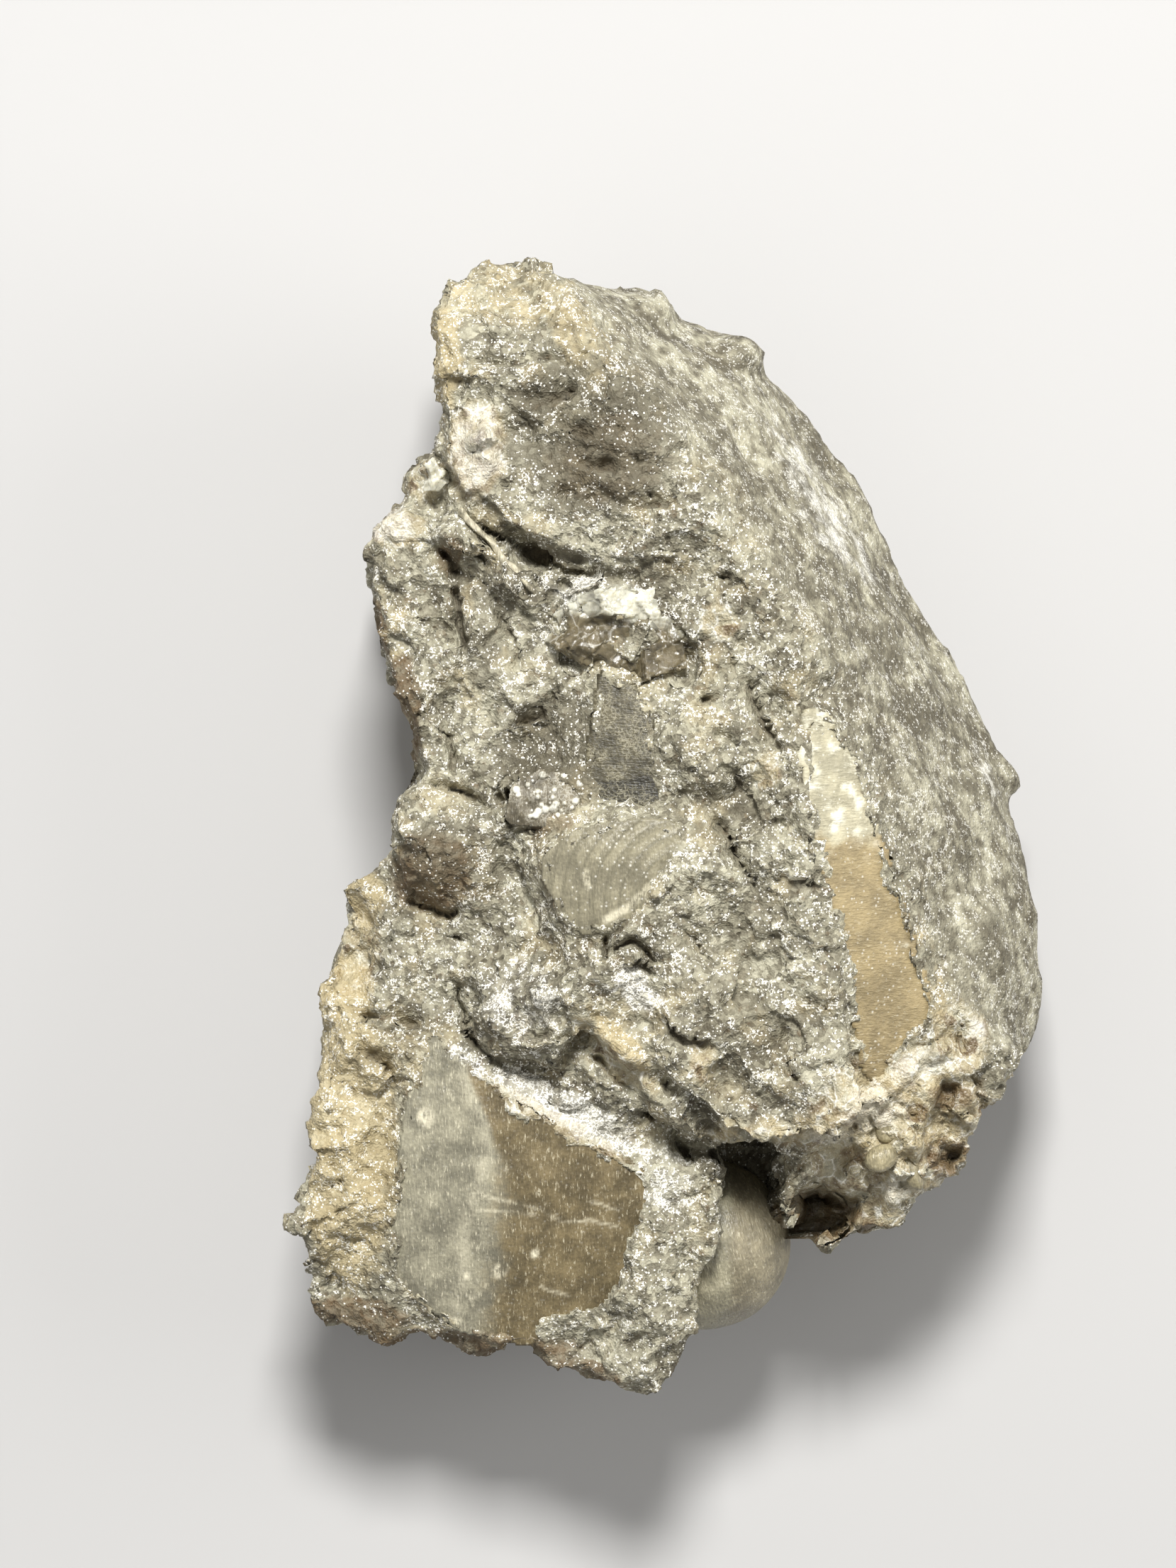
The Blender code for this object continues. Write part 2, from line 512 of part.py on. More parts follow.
def roughened(obj):
    """Push the skin in and out along its normals: broad lumps, then broken facets in two sizes."""
    mesh = obj.data
    places = [vert.co / MM for vert in mesh.vertices]
    normals = [vert.normal.copy() for vert in mesh.vertices]
    for vert, spot, normal in zip(mesh.vertices, places, normals):
        push = sum(facet(spot, size, rise) for size, rise in FACET_SIZES)
        push += LUMP_RISE * noise.noise(spot / LUMP_SIZE)
        if spot.x > ridge_x(spot.y):
            push *= FLANK_CALM
        elif abs(normal.z) < 0.5:
            push *= SIDE_CALM
        underside = min(max((UNDERSIDE_TOP - spot.z) / UNDERSIDE_DEPTH, 0.0), 1.0)
        push += underside * facet(spot, *UNDERSIDE_FACETS)
        vert.co = (spot + normal * push) * MM


def line_at(line, y):
    """The x and z of a line that runs down the chunk, at a given y."""
    for (x_high, y_high, z_high), (x_low, y_low, z_low) in zip(line, line[1:]):
        if y_low <= y <= y_high:
            share = (y - y_low) / (y_high - y_low)
            return x_low + (x_high - x_low) * share, z_low + (z_high - z_low) * share
    end = line[0] if y > 0 else line[-1]
    return end[0], end[2]


def ridge_x(y):
    """Where the ridge between the broken face and the weathered flank runs, at a given y."""
    return line_at(RIDGE, y)[0]


def ridge_slope(x, y):
    """Height of the narrow slope between the crest and the ridge, carried on to both sides."""
    crest, ridge = line_at(CREST, y), line_at(RIDGE, y)
    share = (x - crest[0]) / (ridge[0] - crest[0])
    return crest[1] + (ridge[1] - crest[1]) * share


def limestone(home, tools):
    """The chunk of rock, before the pockets for the shell pieces are cut."""
    forms = [block(name, *facts, tools) for name, facts in BLOCKS.items()]
    forms += [flank(tools), belly(tools)]
    forms += [ellipsoid("swelling", centre, sizes, tools) for centre, sizes in SWELLINGS]
    rock = joined(forms, "limestone_matrix", home)
    one_skin(rock, VOXEL)
    hollows = joined([ellipsoid("hollow", c, s, tools, turn) for c, s, turn in HOLLOWS], "hollows", tools)
    one_skin(hollows, VOXEL / 2)
    combine(rock, hollows, "DIFFERENCE")
    bpy.data.objects.remove(hollows, do_unlink=True)
    one_skin(rock, VOXEL)
    soften = rock.modifiers.new("Soften", "SMOOTH")
    soften.iterations = SMOOTH_STEPS
    evaluated(rock)
    roughened(rock)
    one_skin(rock, VOXEL)
    outer_skin(rock)
    thin = rock.modifiers.new("Thin", "DECIMATE")
    thin.ratio = ROCK_TRIANGLES / (2.0 * len(rock.data.polygons))
    evaluated(rock)
    below = box("below", (-30.0, -30.0, -20.0), (30.0, 30.0, BASE_LEVEL), tools)
    combine(rock, below, "DIFFERENCE")
    bpy.data.objects.remove(below, do_unlink=True)
    return rock


def lying(crest, rise, swell=0.0, reach=1.0):
    """Height of a shell piece over the table: a tilted plane that swells up round its middle."""

    def height(x, y):
        off = math.hypot(x - crest[0], y - crest[1]) / reach
        return crest[2] + rise[0] * (x - crest[0]) + rise[1] * (y - crest[1]) - swell * off * off

    return height


def sheet(name, outline, lie, depth, home, step=0.8):
    """A piece of shell: a curved sheet of the height given by lie, cut to its outline."""
    xs, ys = [p[0] for p in outline], [p[1] for p in outline]
    across, along = max(xs) - min(xs) + 2.0, max(ys) - min(ys) + 2.0
    bm = bmesh.new()
    bmesh.ops.create_grid(bm, x_segments=round(across / step), y_segments=round(along / step), size=0.5)
    for vert in bm.verts:
        vert.co.x = vert.co.x * across + (max(xs) + min(xs)) / 2
        vert.co.y = vert.co.y * along + (max(ys) + min(ys)) / 2
        vert.co.z = lie(vert.co.x, vert.co.y)
    under = bmesh.ops.extrude_face_region(bm, geom=bm.faces[:])
    low = [item for item in under["geom"] if isinstance(item, bmesh.types.BMVert)]
    bmesh.ops.translate(bm, vec=(0.0, 0.0, -depth), verts=low)
    cut = object_from(bm, name, home)
    edge = prism(name + "_edge", outline, home)
    for vert in edge.verts:
        vert.co.z = 30.0 if vert.co.z > 0.5 else 0.0
    edge = object_from(edge, name + "_edge", home)
    combine(cut, edge, "INTERSECT")
    bpy.data.objects.remove(edge, do_unlink=True)
    return cut


def pocket(rock, name, outline, lie, depth, tools):
    """Cut the hollow that a shell piece lies in: its outline and depth, larger by the gap."""

    def above(x, y):
        """Height of the tool's top."""
        return lie(x, y) + HEADROOM

    cutter = sheet(name + "_pocket", grown(outline, GAP), above, depth + HEADROOM + GAP, tools)
    combine(rock, cutter, "DIFFERENCE")
    bpy.data.objects.remove(cutter, do_unlink=True)


def shell_piece(rock, name, outline, lie, depth, home, tools):
    """A shell piece and the pocket for it in the rock."""
    pocket(rock, name, outline, lie, depth, tools)
    piece = sheet(name, outline, lie, depth, home)
    finish(piece, name)
    return piece


def buff_lie(x, y):
    """Height of the buff strip, which stands a little over the ridge's slope."""
    return ridge_slope(x, y) + BUFF_PROUD


def ribbon(path, width):
    """Outline of a narrow strip of even width along a path."""
    sides = [[], []]
    for i, point in enumerate(path):
        before, after = Vector(path[max(i - 1, 0)]), Vector(path[min(i + 1, len(path) - 1)])
        along = (after - before).xy.normalized()
        across = Vector((-along.y, along.x)) * width / 2
        sides[0].append((point[0] + across.x, point[1] + across.y))
        sides[1].append((point[0] - across.x, point[1] - across.y))
    return sides[0] + sides[1][::-1]


def domed_shell(rock, home, tools):
    """The smooth dome at the bottom, half sunk in the rock."""
    hollow = ellipsoid("dome_pocket", DOME_CENTRE, [r + GAP for r in DOME_SIZES], tools, rounds=24)
    combine(rock, hollow, "DIFFERENCE")
    bpy.data.objects.remove(hollow, do_unlink=True)
    dome = ellipsoid("domed_shell", DOME_CENTRE, DOME_SIZES, home, rounds=24)
    dome.data.shade_smooth()
    finish(dome, "domed_shell")


def beaded_shell(rock, home, tools):
    """The small patch of shell with a bead on each of its pores."""
    lie = lying(*BEADED_LIE)
    piece = shell_piece(rock, "beaded_shell", BEADED, lie, BEADED_DEPTH, home, tools)
    for x, y in BEADS:
        bead = ellipsoid("bead", (x, y, lie(x, y)), [BEAD_RADIUS] * 3, tools, rounds=8)
        combine(piece, bead, "UNION")
        bpy.data.objects.remove(bead, do_unlink=True)


def crystal(centre, edge, turns, home):
    """One calcite rhomb: a cube that leans, then turned."""
    bm = bmesh.new()
    bmesh.ops.create_cube(bm, size=edge)
    lean = Matrix(((1.0, CRYSTAL_LEAN, CRYSTAL_LEAN), (0.0, 1.0, CRYSTAL_LEAN), (0.0, 0.0, 1.0)))
    turn = Matrix.Identity(3)
    for axis, angle in zip("XYZ", turns):
        turn = Matrix.Rotation(math.radians(angle), 3, axis) @ turn
    place = Matrix.Translation(centre) @ (turn @ lean).to_4x4()
    bmesh.ops.transform(bm, matrix=place, verts=bm.verts)
    return object_from(bm, "crystal", home)


def calcite_crystals(rock, home, tools):
    """The grown-together crystals, one crust on a root that fills the bottom of its hollow."""
    floor = lying((0.0, 0.0, CRUST_FLOOR + CRUST_ROOT), (0.0, 0.0))
    pocket(rock, "calcite_crystals", CRUST, floor, CRUST_ROOT, tools)
    crust = sheet("calcite_crystals", CRUST, floor, CRUST_ROOT, home, step=3.0)
    for centre, edge, turns in CRYSTALS:
        grain = crystal(centre, edge, turns, tools)
        combine(crust, grain, "UNION")
        bpy.data.objects.remove(grain, do_unlink=True)
    wall = sheet("crust_wall", CRUST, lambda x, y: 25.0, 25.0 - CRUST_FLOOR, tools, step=3.0)
    combine(crust, wall, "INTERSECT")
    bpy.data.objects.remove(wall, do_unlink=True)
    outer_skin(crust)
    finish(crust, "calcite_crystals")


def main():
    """Build the rock, then the pieces that lie in it."""
    clear_scene()
    home = collection("trilobite_fossil")
    tools = collection("cutters")
    rock = limestone(home, tools)
    domed_shell(rock, home, tools)
    for name, (outline, crest, rise, swell, reach, depth) in SHELL_PIECES.items():
        shell_piece(rock, name, outline, lying(crest, rise, swell, reach), depth, home, tools)
    shell_piece(rock, "buff_shell", BUFF, buff_lie, BUFF_DEPTH, home, tools)
    sliver_lie = lying(*SLIVER_LIE)
    shell_piece(rock, "shell_sliver", ribbon(SLIVER, SLIVER_WIDTH), sliver_lie, SLIVER_DEPTH, home, tools)
    beaded_shell(rock, home, tools)
    calcite_crystals(rock, home, tools)
    outer_skin(rock)
    finish(rock, "limestone_matrix")


main()
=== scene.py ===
"""Trilobite shell pieces in limestone: the visible model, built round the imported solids.

The chunk lies broken face up. Places and sizes in this file are millimetres in the chunk's own frame
(+Y along its length, +Z up through the broken face); they become metres where meshes are made.
"""

import json
import logging
import math
from dataclasses import dataclass, field, replace
from enum import Enum
from typing import Any, Callable, Iterable, Sequence

import bpy
import numpy as np
from mathutils import Matrix, Vector, noise

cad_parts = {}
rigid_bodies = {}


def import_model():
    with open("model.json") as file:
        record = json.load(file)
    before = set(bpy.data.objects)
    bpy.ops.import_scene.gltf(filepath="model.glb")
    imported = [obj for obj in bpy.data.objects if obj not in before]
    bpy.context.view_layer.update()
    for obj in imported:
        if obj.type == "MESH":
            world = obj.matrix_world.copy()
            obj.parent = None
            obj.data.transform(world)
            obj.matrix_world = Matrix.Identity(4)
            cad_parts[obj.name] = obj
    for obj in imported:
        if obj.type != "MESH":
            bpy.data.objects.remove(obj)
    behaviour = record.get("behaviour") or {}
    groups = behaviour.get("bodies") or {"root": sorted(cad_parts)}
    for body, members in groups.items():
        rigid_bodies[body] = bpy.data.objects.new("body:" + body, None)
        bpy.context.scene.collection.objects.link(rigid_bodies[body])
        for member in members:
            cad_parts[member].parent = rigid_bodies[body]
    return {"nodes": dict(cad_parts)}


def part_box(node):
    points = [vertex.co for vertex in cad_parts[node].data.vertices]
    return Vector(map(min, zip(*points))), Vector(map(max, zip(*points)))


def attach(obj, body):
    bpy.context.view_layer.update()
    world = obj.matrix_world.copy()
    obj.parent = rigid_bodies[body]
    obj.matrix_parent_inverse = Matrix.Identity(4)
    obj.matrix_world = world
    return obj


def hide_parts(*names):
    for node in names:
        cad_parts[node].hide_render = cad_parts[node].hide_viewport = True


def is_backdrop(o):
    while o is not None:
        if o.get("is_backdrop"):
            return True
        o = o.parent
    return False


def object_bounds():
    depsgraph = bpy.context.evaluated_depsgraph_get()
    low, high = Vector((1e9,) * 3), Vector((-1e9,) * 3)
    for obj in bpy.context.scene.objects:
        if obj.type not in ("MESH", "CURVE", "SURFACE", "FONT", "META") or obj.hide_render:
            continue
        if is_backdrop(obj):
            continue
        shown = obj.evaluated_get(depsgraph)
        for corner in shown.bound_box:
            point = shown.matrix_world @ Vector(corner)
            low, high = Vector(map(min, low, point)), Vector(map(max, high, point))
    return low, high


LOG = logging.getLogger("trilobite_fossil")

MM = 0.001
BODY = "root"
TINY = 1e-12
MERGE_DISTANCE = 1e-6

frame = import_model()

Point = tuple[float, float]
Place = tuple[float, float, float]
Colour = tuple[float, float, float]
Pattern = Callable[[np.ndarray, float, float], np.ndarray]


# Numbers on arrays of points


def signed_distance(points: np.ndarray, outline: Sequence[Point]) -> np.ndarray:
    """Measure how far points lie from a closed outline.

    Args:
        points: x and y of each point, one row each.
        outline: the outline's corners in order.

    Returns:
        The distance of each point, negative inside the outline.
    """
    corners = np.asarray(outline, float)
    best = np.full(len(points), np.inf)
    inside = np.zeros(len(points), bool)
    for start, end in zip(corners, np.roll(corners, -1, axis=0)):
        edge = end - start
        rel = points - start
        share = np.clip(rel @ edge / max(edge @ edge, TINY), 0.0, 1.0)
        best = np.minimum(best, np.hypot(*(rel - share[:, None] * edge).T))
        rises = (start[1] > points[:, 1]) != (end[1] > points[:, 1])
        run = edge[0] * (points[:, 1] - start[1]) / (edge[1] or TINY) + start[0]
        inside ^= rises & (points[:, 0] < run)
    return np.where(inside, -best, best)


def path_distance(points: np.ndarray, path: Sequence[Point]) -> tuple[np.ndarray, ...]:
    """Measure points against an open path.

    Args:
        points: x and y of each point, one row each.
        path: the path's corners in order.

    Returns:
        The distance of each point, the share of the path's length at its nearest spot, and which side
        it lies on: 1 to the left of the path's direction, -1 to the right.
    """
    corners = np.asarray(path, float)
    lengths = np.hypot(*np.diff(corners, axis=0).T)
    whole = max(lengths.sum(), TINY)
    best = np.full(len(points), np.inf)
    along = np.zeros(len(points))
    side = np.ones(len(points))
    before = 0.0
    for start, end, length in zip(corners[:-1], corners[1:], lengths):
        edge = end - start
        rel = points - start
        share = np.clip(rel @ edge / max(edge @ edge, TINY), 0.0, 1.0)
        away = np.hypot(*(rel - share[:, None] * edge).T)
        nearer = away < best
        best = np.where(nearer, away, best)
        along = np.where(nearer, (before + share * length) / whole, along)
        turn = edge[0] * rel[:, 1] - edge[1] * rel[:, 0]
        side = np.where(nearer, np.where(turn >= 0.0, 1.0, -1.0), side)
        before += length
    return best, along, side


def smooth_step(values: np.ndarray, low: float, high: float) -> np.ndarray:
    """Rise softly from 0 at low to 1 at high; high may be the smaller of the two."""
    share = np.clip((values - low) / (high - low), 0.0, 1.0)
    return share * share * (3.0 - 2.0 * share)


def stone_noise(points: np.ndarray, size: float, shift: float = 0.0) -> np.ndarray:
    """Even noise between about -1 and 1 at each point, with swells of the given size."""
    step = 1.0 / size
    return np.array([noise.noise(Vector(p) * step + Vector((shift, shift, shift))) for p in points])


def noise_pair(points: np.ndarray, size: float, shifts: Point) -> np.ndarray:
    """Even noise in x and in y at each point, each from its own part of the field."""
    return np.stack([stone_noise(points, size, shift) for shift in shifts], axis=1)


def layered(kind: Pattern, points: np.ndarray, layers: Sequence[Point], spread: float) -> np.ndarray:
    """Add up a pattern in several sizes.

    Args:
        kind: the pattern.
        points: x, y and z of each point.
        layers: size and height of each layer.
        spread: how far the pattern moves from one layer to the next.

    Returns:
        The height at each point.
    """
    height = np.zeros(len(points))
    for shift, (size, rise) in enumerate(layers):
        height += rise * kind(points, size, spread * shift)
    return height


def broken_facets(points: np.ndarray, size: float, shift: float = 0.0) -> np.ndarray:
    """Height of broken facets: each cell of stone is a plane with a tilt and a step of its own.

    Args:
        points: x, y and z of each point.
        size: width of a facet.
        shift: moves the pattern, so that two sizes don't share their cells.

    Returns:
        The height at each point, between about -0.6 and 0.6.
    """
    heights = np.empty(len(points))
    half = Vector((0.5, 0.5, 0.5))
    for i, point in enumerate(points):
        spot = Vector(point) / size + half * shift
        near = noise.voronoi(spot)[1][0]
        tilt = noise.cell_vector(near * 7.3) - half
        heights[i] = tilt.dot(spot - near) + 0.3 * (noise.cell(near * 5.1) - 0.5)
    return heights


# Shader maths


@dataclass(frozen=True)
class Value:
    """A socket of a node tree that can be used in Python expressions."""

    paint: "Paint"
    socket: Any

    def _with(self, operation: str, other: "Value | float", swapped: bool = False) -> "Value":
        """Add a Math node for this value and another one.

        Args:
            operation: the node's operation.
            other: the other value.
            swapped: whether the other value comes first.

        Returns:
            The result.
        """
        pair = (other, self) if swapped else (self, other)
        node = self.paint.node("ShaderNodeMath", {"operation": operation}, {0: pair[0], 1: pair[1]})
        return Value(self.paint, node.outputs[0])

    def __add__(self, other: "Value | float") -> "Value":
        """Sum of two values."""
        return self._with("ADD", other)

    __radd__ = __add__

    def __mul__(self, other: "Value | float") -> "Value":
        """Product of two values."""
        return self._with("MULTIPLY", other)

    __rmul__ = __mul__

    def __sub__(self, other: "Value | float") -> "Value":
        """Difference of two values."""
        return self._with("SUBTRACT", other)

    def __rsub__(self, other: float) -> "Value":
        """Difference with the number first."""
        return self._with("SUBTRACT", other, swapped=True)


class Paint:
    """One material's node tree, ending in a Principled shader."""

    def __init__(self, name: str) -> None:
        """Make the material with an empty tree.

        Args:
            name: the material's name.
        """
        self.material = bpy.data.materials.new(name)
        self.material.use_nodes = True
        self.tree = self.material.node_tree
        self.tree.nodes.clear()
        coords = self.node("ShaderNodeTexCoord", {}, {})
        self.place = self.vector("SCALE", {0: coords.outputs["Object"], 3: 1.0 / MM})

    def node(self, kind: str, settings: dict[str, Any], inputs: dict[Any, Any]) -> Any:
        """Add a node.

        Args:
            kind: the node's type name.
            settings: its properties, set first; stops are a colour ramp's places and colours.
            inputs: a number, colour or link for each of its sockets, by name or index.

        Returns:
            The node.
        """
        made = self.tree.nodes.new(kind)
        for key, setting in settings.items():
            if key == "stops":
                self._stops(made, setting)
            else:
                setattr(made, key, setting)
        for key, given in inputs.items():
            link = given.socket if isinstance(given, Value) else given
            if isinstance(link, bpy.types.NodeSocket):
                self.tree.links.new(link, made.inputs[key])
            else:
                made.inputs[key].default_value = link
        return made

    def _stops(self, ramp: Any, stops: Sequence[tuple[float, Colour]]) -> None:
        """Give a colour ramp its stops.

        Args:
            ramp: the colour ramp's node.
            stops: each stop's place and colour.
        """
        points = ramp.color_ramp.elements
        while len(points) < len(stops):
            points.new(0.5)
        for point, (place, colour) in zip(points, stops):
            point.position = place
            point.color = (*colour, 1.0)

    def stretched(self, sizes: Sequence[float], turn: float = 0.0) -> Any:
        """Places for a drawn-out pattern.

        Args:
            sizes: length of a swell of the pattern along, across and up, in millimetres.
            turn: direction of the first of them, in degrees about the vertical.

        Returns:
            The link of the places.
        """
        inputs = {"Vector": self.place, "Rotation": (0.0, 0.0, math.radians(turn)), "Scale": tuple(sizes)}
        return self.node("ShaderNodeMapping", {"vector_type": "TEXTURE"}, inputs).outputs[0]

    def vector(self, operation: str, inputs: dict[Any, Any]) -> Any:
        """The link of a vector worked out from others."""
        return self.node("ShaderNodeVectorMath", {"operation": operation}, inputs).outputs[0]

    def centred(self, colour: Any) -> Any:
        """A colour moved so that its mean is nothing."""
        return self.vector("SUBTRACT", {0: colour, 1: (0.5, 0.5, 0.5)})

    def bent(self, reach: float, scale: float) -> Any:
        """The place in millimetres, bent to and fro so that straight seams come out wandering.

        Args:
            reach: how far it is bent, in millimetres.
            scale: how many bends there are to the millimetre.

        Returns:
            The link of the bent place.
        """
        inputs = {"Vector": self.place, "Scale": scale, "Detail": 2.0}
        colour = self.node("ShaderNodeTexNoise", {}, inputs).outputs["Color"]
        return self.vector("MULTIPLY_ADD", {0: self.centred(colour), 1: (2.0 * reach,) * 3, 2: self.place})

    def seams(self, scale: float, place: Any = None) -> Value:
        """Distance to the nearest seam between grains, in shares of a grain.

        Args:
            scale: how many grains lie along a millimetre.
            place: the link of the place, where it isn't the plain one.

        Returns:
            The distance.
        """
        inputs = {"Vector": place or self.place, "Scale": scale}
        made = self.node("ShaderNodeTexVoronoi", {"feature": "DISTANCE_TO_EDGE"}, inputs)
        return Value(self, made.outputs["Distance"])

    def scaled(self, colour: Any, share: Value) -> Any:
        """A colour made darker or lighter by a value."""
        colour = colour if isinstance(colour, bpy.types.NodeSocket) else tuple(colour)
        return self.vector("SCALE", {0: colour, 3: share})

    def noise(self, scale: float, detail: float = 2.0, rough: float = 0.5, place: Any = None) -> Value:
        """Noise with so many swells to the millimetre."""
        inputs = {"Vector": place or self.place, "Scale": scale, "Detail": detail, "Roughness": rough}
        return Value(self, self.node("ShaderNodeTexNoise", {}, inputs).outputs[0])

    def cells(self, scale: float, place: Any = None, jitter: float = 1.0) -> tuple[Value, Any]:
        """Distance to the nearest grain, and that grain's own colour.

        Args:
            scale: how many grains lie along a millimetre.
            place: the link of the place, where it isn't the plain one.
            jitter: how uneven the grains are, from 0 to 1.

        Returns:
            The distance, and the link of the colour.
        """
        inputs = {"Vector": place or self.place, "Scale": scale, "Randomness": jitter}
        made = self.node("ShaderNodeTexVoronoi", {}, inputs)
        return Value(self, made.outputs["Distance"]), made.outputs["Color"]

    def channel(self, colour: Any, index: int) -> Value:
        """One channel of a colour as a value."""
        return Value(self, self.node("ShaderNodeSeparateColor", {}, {0: colour}).outputs[index])

    def attribute(self, name: str) -> Value:
        """A value stored on the mesh's points."""
        made = self.node("ShaderNodeAttribute", {"attribute_name": name}, {})
        return Value(self, made.outputs["Fac"])

    def rise(self, value: Value, low: float, high: float) -> Value:
        """A value that goes softly from 0 at low to 1 at high.

        Args:
            value: the value.
            low: where the rise starts.
            high: where it ends.

        Returns:
            The risen value.
        """
        inputs = {"Value": value, "From Min": low, "From Max": high}
        made = self.node("ShaderNodeMapRange", {"interpolation_type": "SMOOTHSTEP"}, inputs)
        return Value(self, made.outputs[0])

    def edge(self, name: str, scale: float = 1.1, ragged: float = 0.5) -> Value:
        """A stored value as a mask with a ragged edge.

        Args:
            name: the stored value's name.
            scale: how many swells the edge has to the millimetre.
            ragged: how far the edge wanders.

        Returns:
            The mask.
        """
        stored = self.attribute(name)
        wander = (self.noise(scale, 4.0, 0.6) - 0.5) * (2.0 * ragged)
        return self.rise(stored + wander * self.rise(stored, 0.0, 0.2), 0.3, 0.75)

    def ramp(self, value: Value, stops: Sequence[tuple[float, Colour]]) -> Any:
        """A colour that follows a value."""
        return self.node("ShaderNodeValToRGB", {"stops": stops}, {0: value}).outputs[0]

    def mix(self, first: Any, second: Any, share: Value | float, way: str = "MIX") -> Any:
        """Two colours mixed, or blended in another way.

        Args:
            first: the colour at share 0.
            second: the colour at share 1.
            share: how much of the second there is.
            way: the node's blend type.

        Returns:
            The link of the colour.
        """
        first, second = [(*c, 1.0) if isinstance(c, tuple) else c for c in (first, second)]
        settings = {"data_type": "RGBA", "blend_type": way}
        return self.node("ShaderNodeMix", settings, {0: share, 6: first, 7: second}).outputs[2]

    def bump(self, height: Value, depth: float, strength: float = 1.0, normal: Any = None) -> Any:
        """A normal bent by a height, with the depth in millimetres.

        Args:
            height: the height.
            depth: the depth that a height of 1 stands for.
            strength: how strongly it bends the normal.
            normal: the link of the normal to bend, where it isn't the plain one.

        Returns:
            The link of the bent normal.
        """
        inputs = {"Height": height, "Distance": depth * MM, "Strength": strength}
        if normal is not None:
            inputs["Normal"] = normal
        return self.node("ShaderNodeBump", {}, inputs).outputs[0]

    def tilted(self, colour: Any, lean: Value | float) -> Any:
        """The surface's normal, leaned a different way in each grain.

        Args:
            colour: the grain's own random colour.
            lean: how far the normals lean.

        Returns:
            The link of the leaned normal.
        """
        short = self.vector("SCALE", {0: self.centred(colour), 3: lean})
        facing = self.node("ShaderNodeNewGeometry", {}, {}).outputs["Normal"]
        return self.vector("NORMALIZE", {0: self.vector("ADD", {0: facing, 1: short})})

    def finish(self, inputs: dict[str, Any]) -> bpy.types.Material:
        """End the tree in a Principled shader.

        Args:
            inputs: the shader's inputs by name.

        Returns:
            The material.
        """
        if isinstance(inputs["Base Color"], tuple):
            inputs = {**inputs, "Base Color": (*inputs["Base Color"], 1.0)}
        shader = self.node("ShaderNodeBsdfPrincipled", {}, inputs)
        self.node("ShaderNodeOutputMaterial", {}, {"Surface": shader.outputs[0]})
        return self.material


class Tone(Enum):
    """What is stored on the rock's points for its finish: stains and wear, with painted shade in the dark
    and hollow tones and painted highlights in the bright one.
    """

    CREAM = "cream"
    UMBER = "umber"
    DARK = "dark"
    BRIGHT_AND_HIGHLIGHT = "bright"
    CRYSTAL = "crystal"
    WORN = "worn"
    HOLLOW = "hollow"


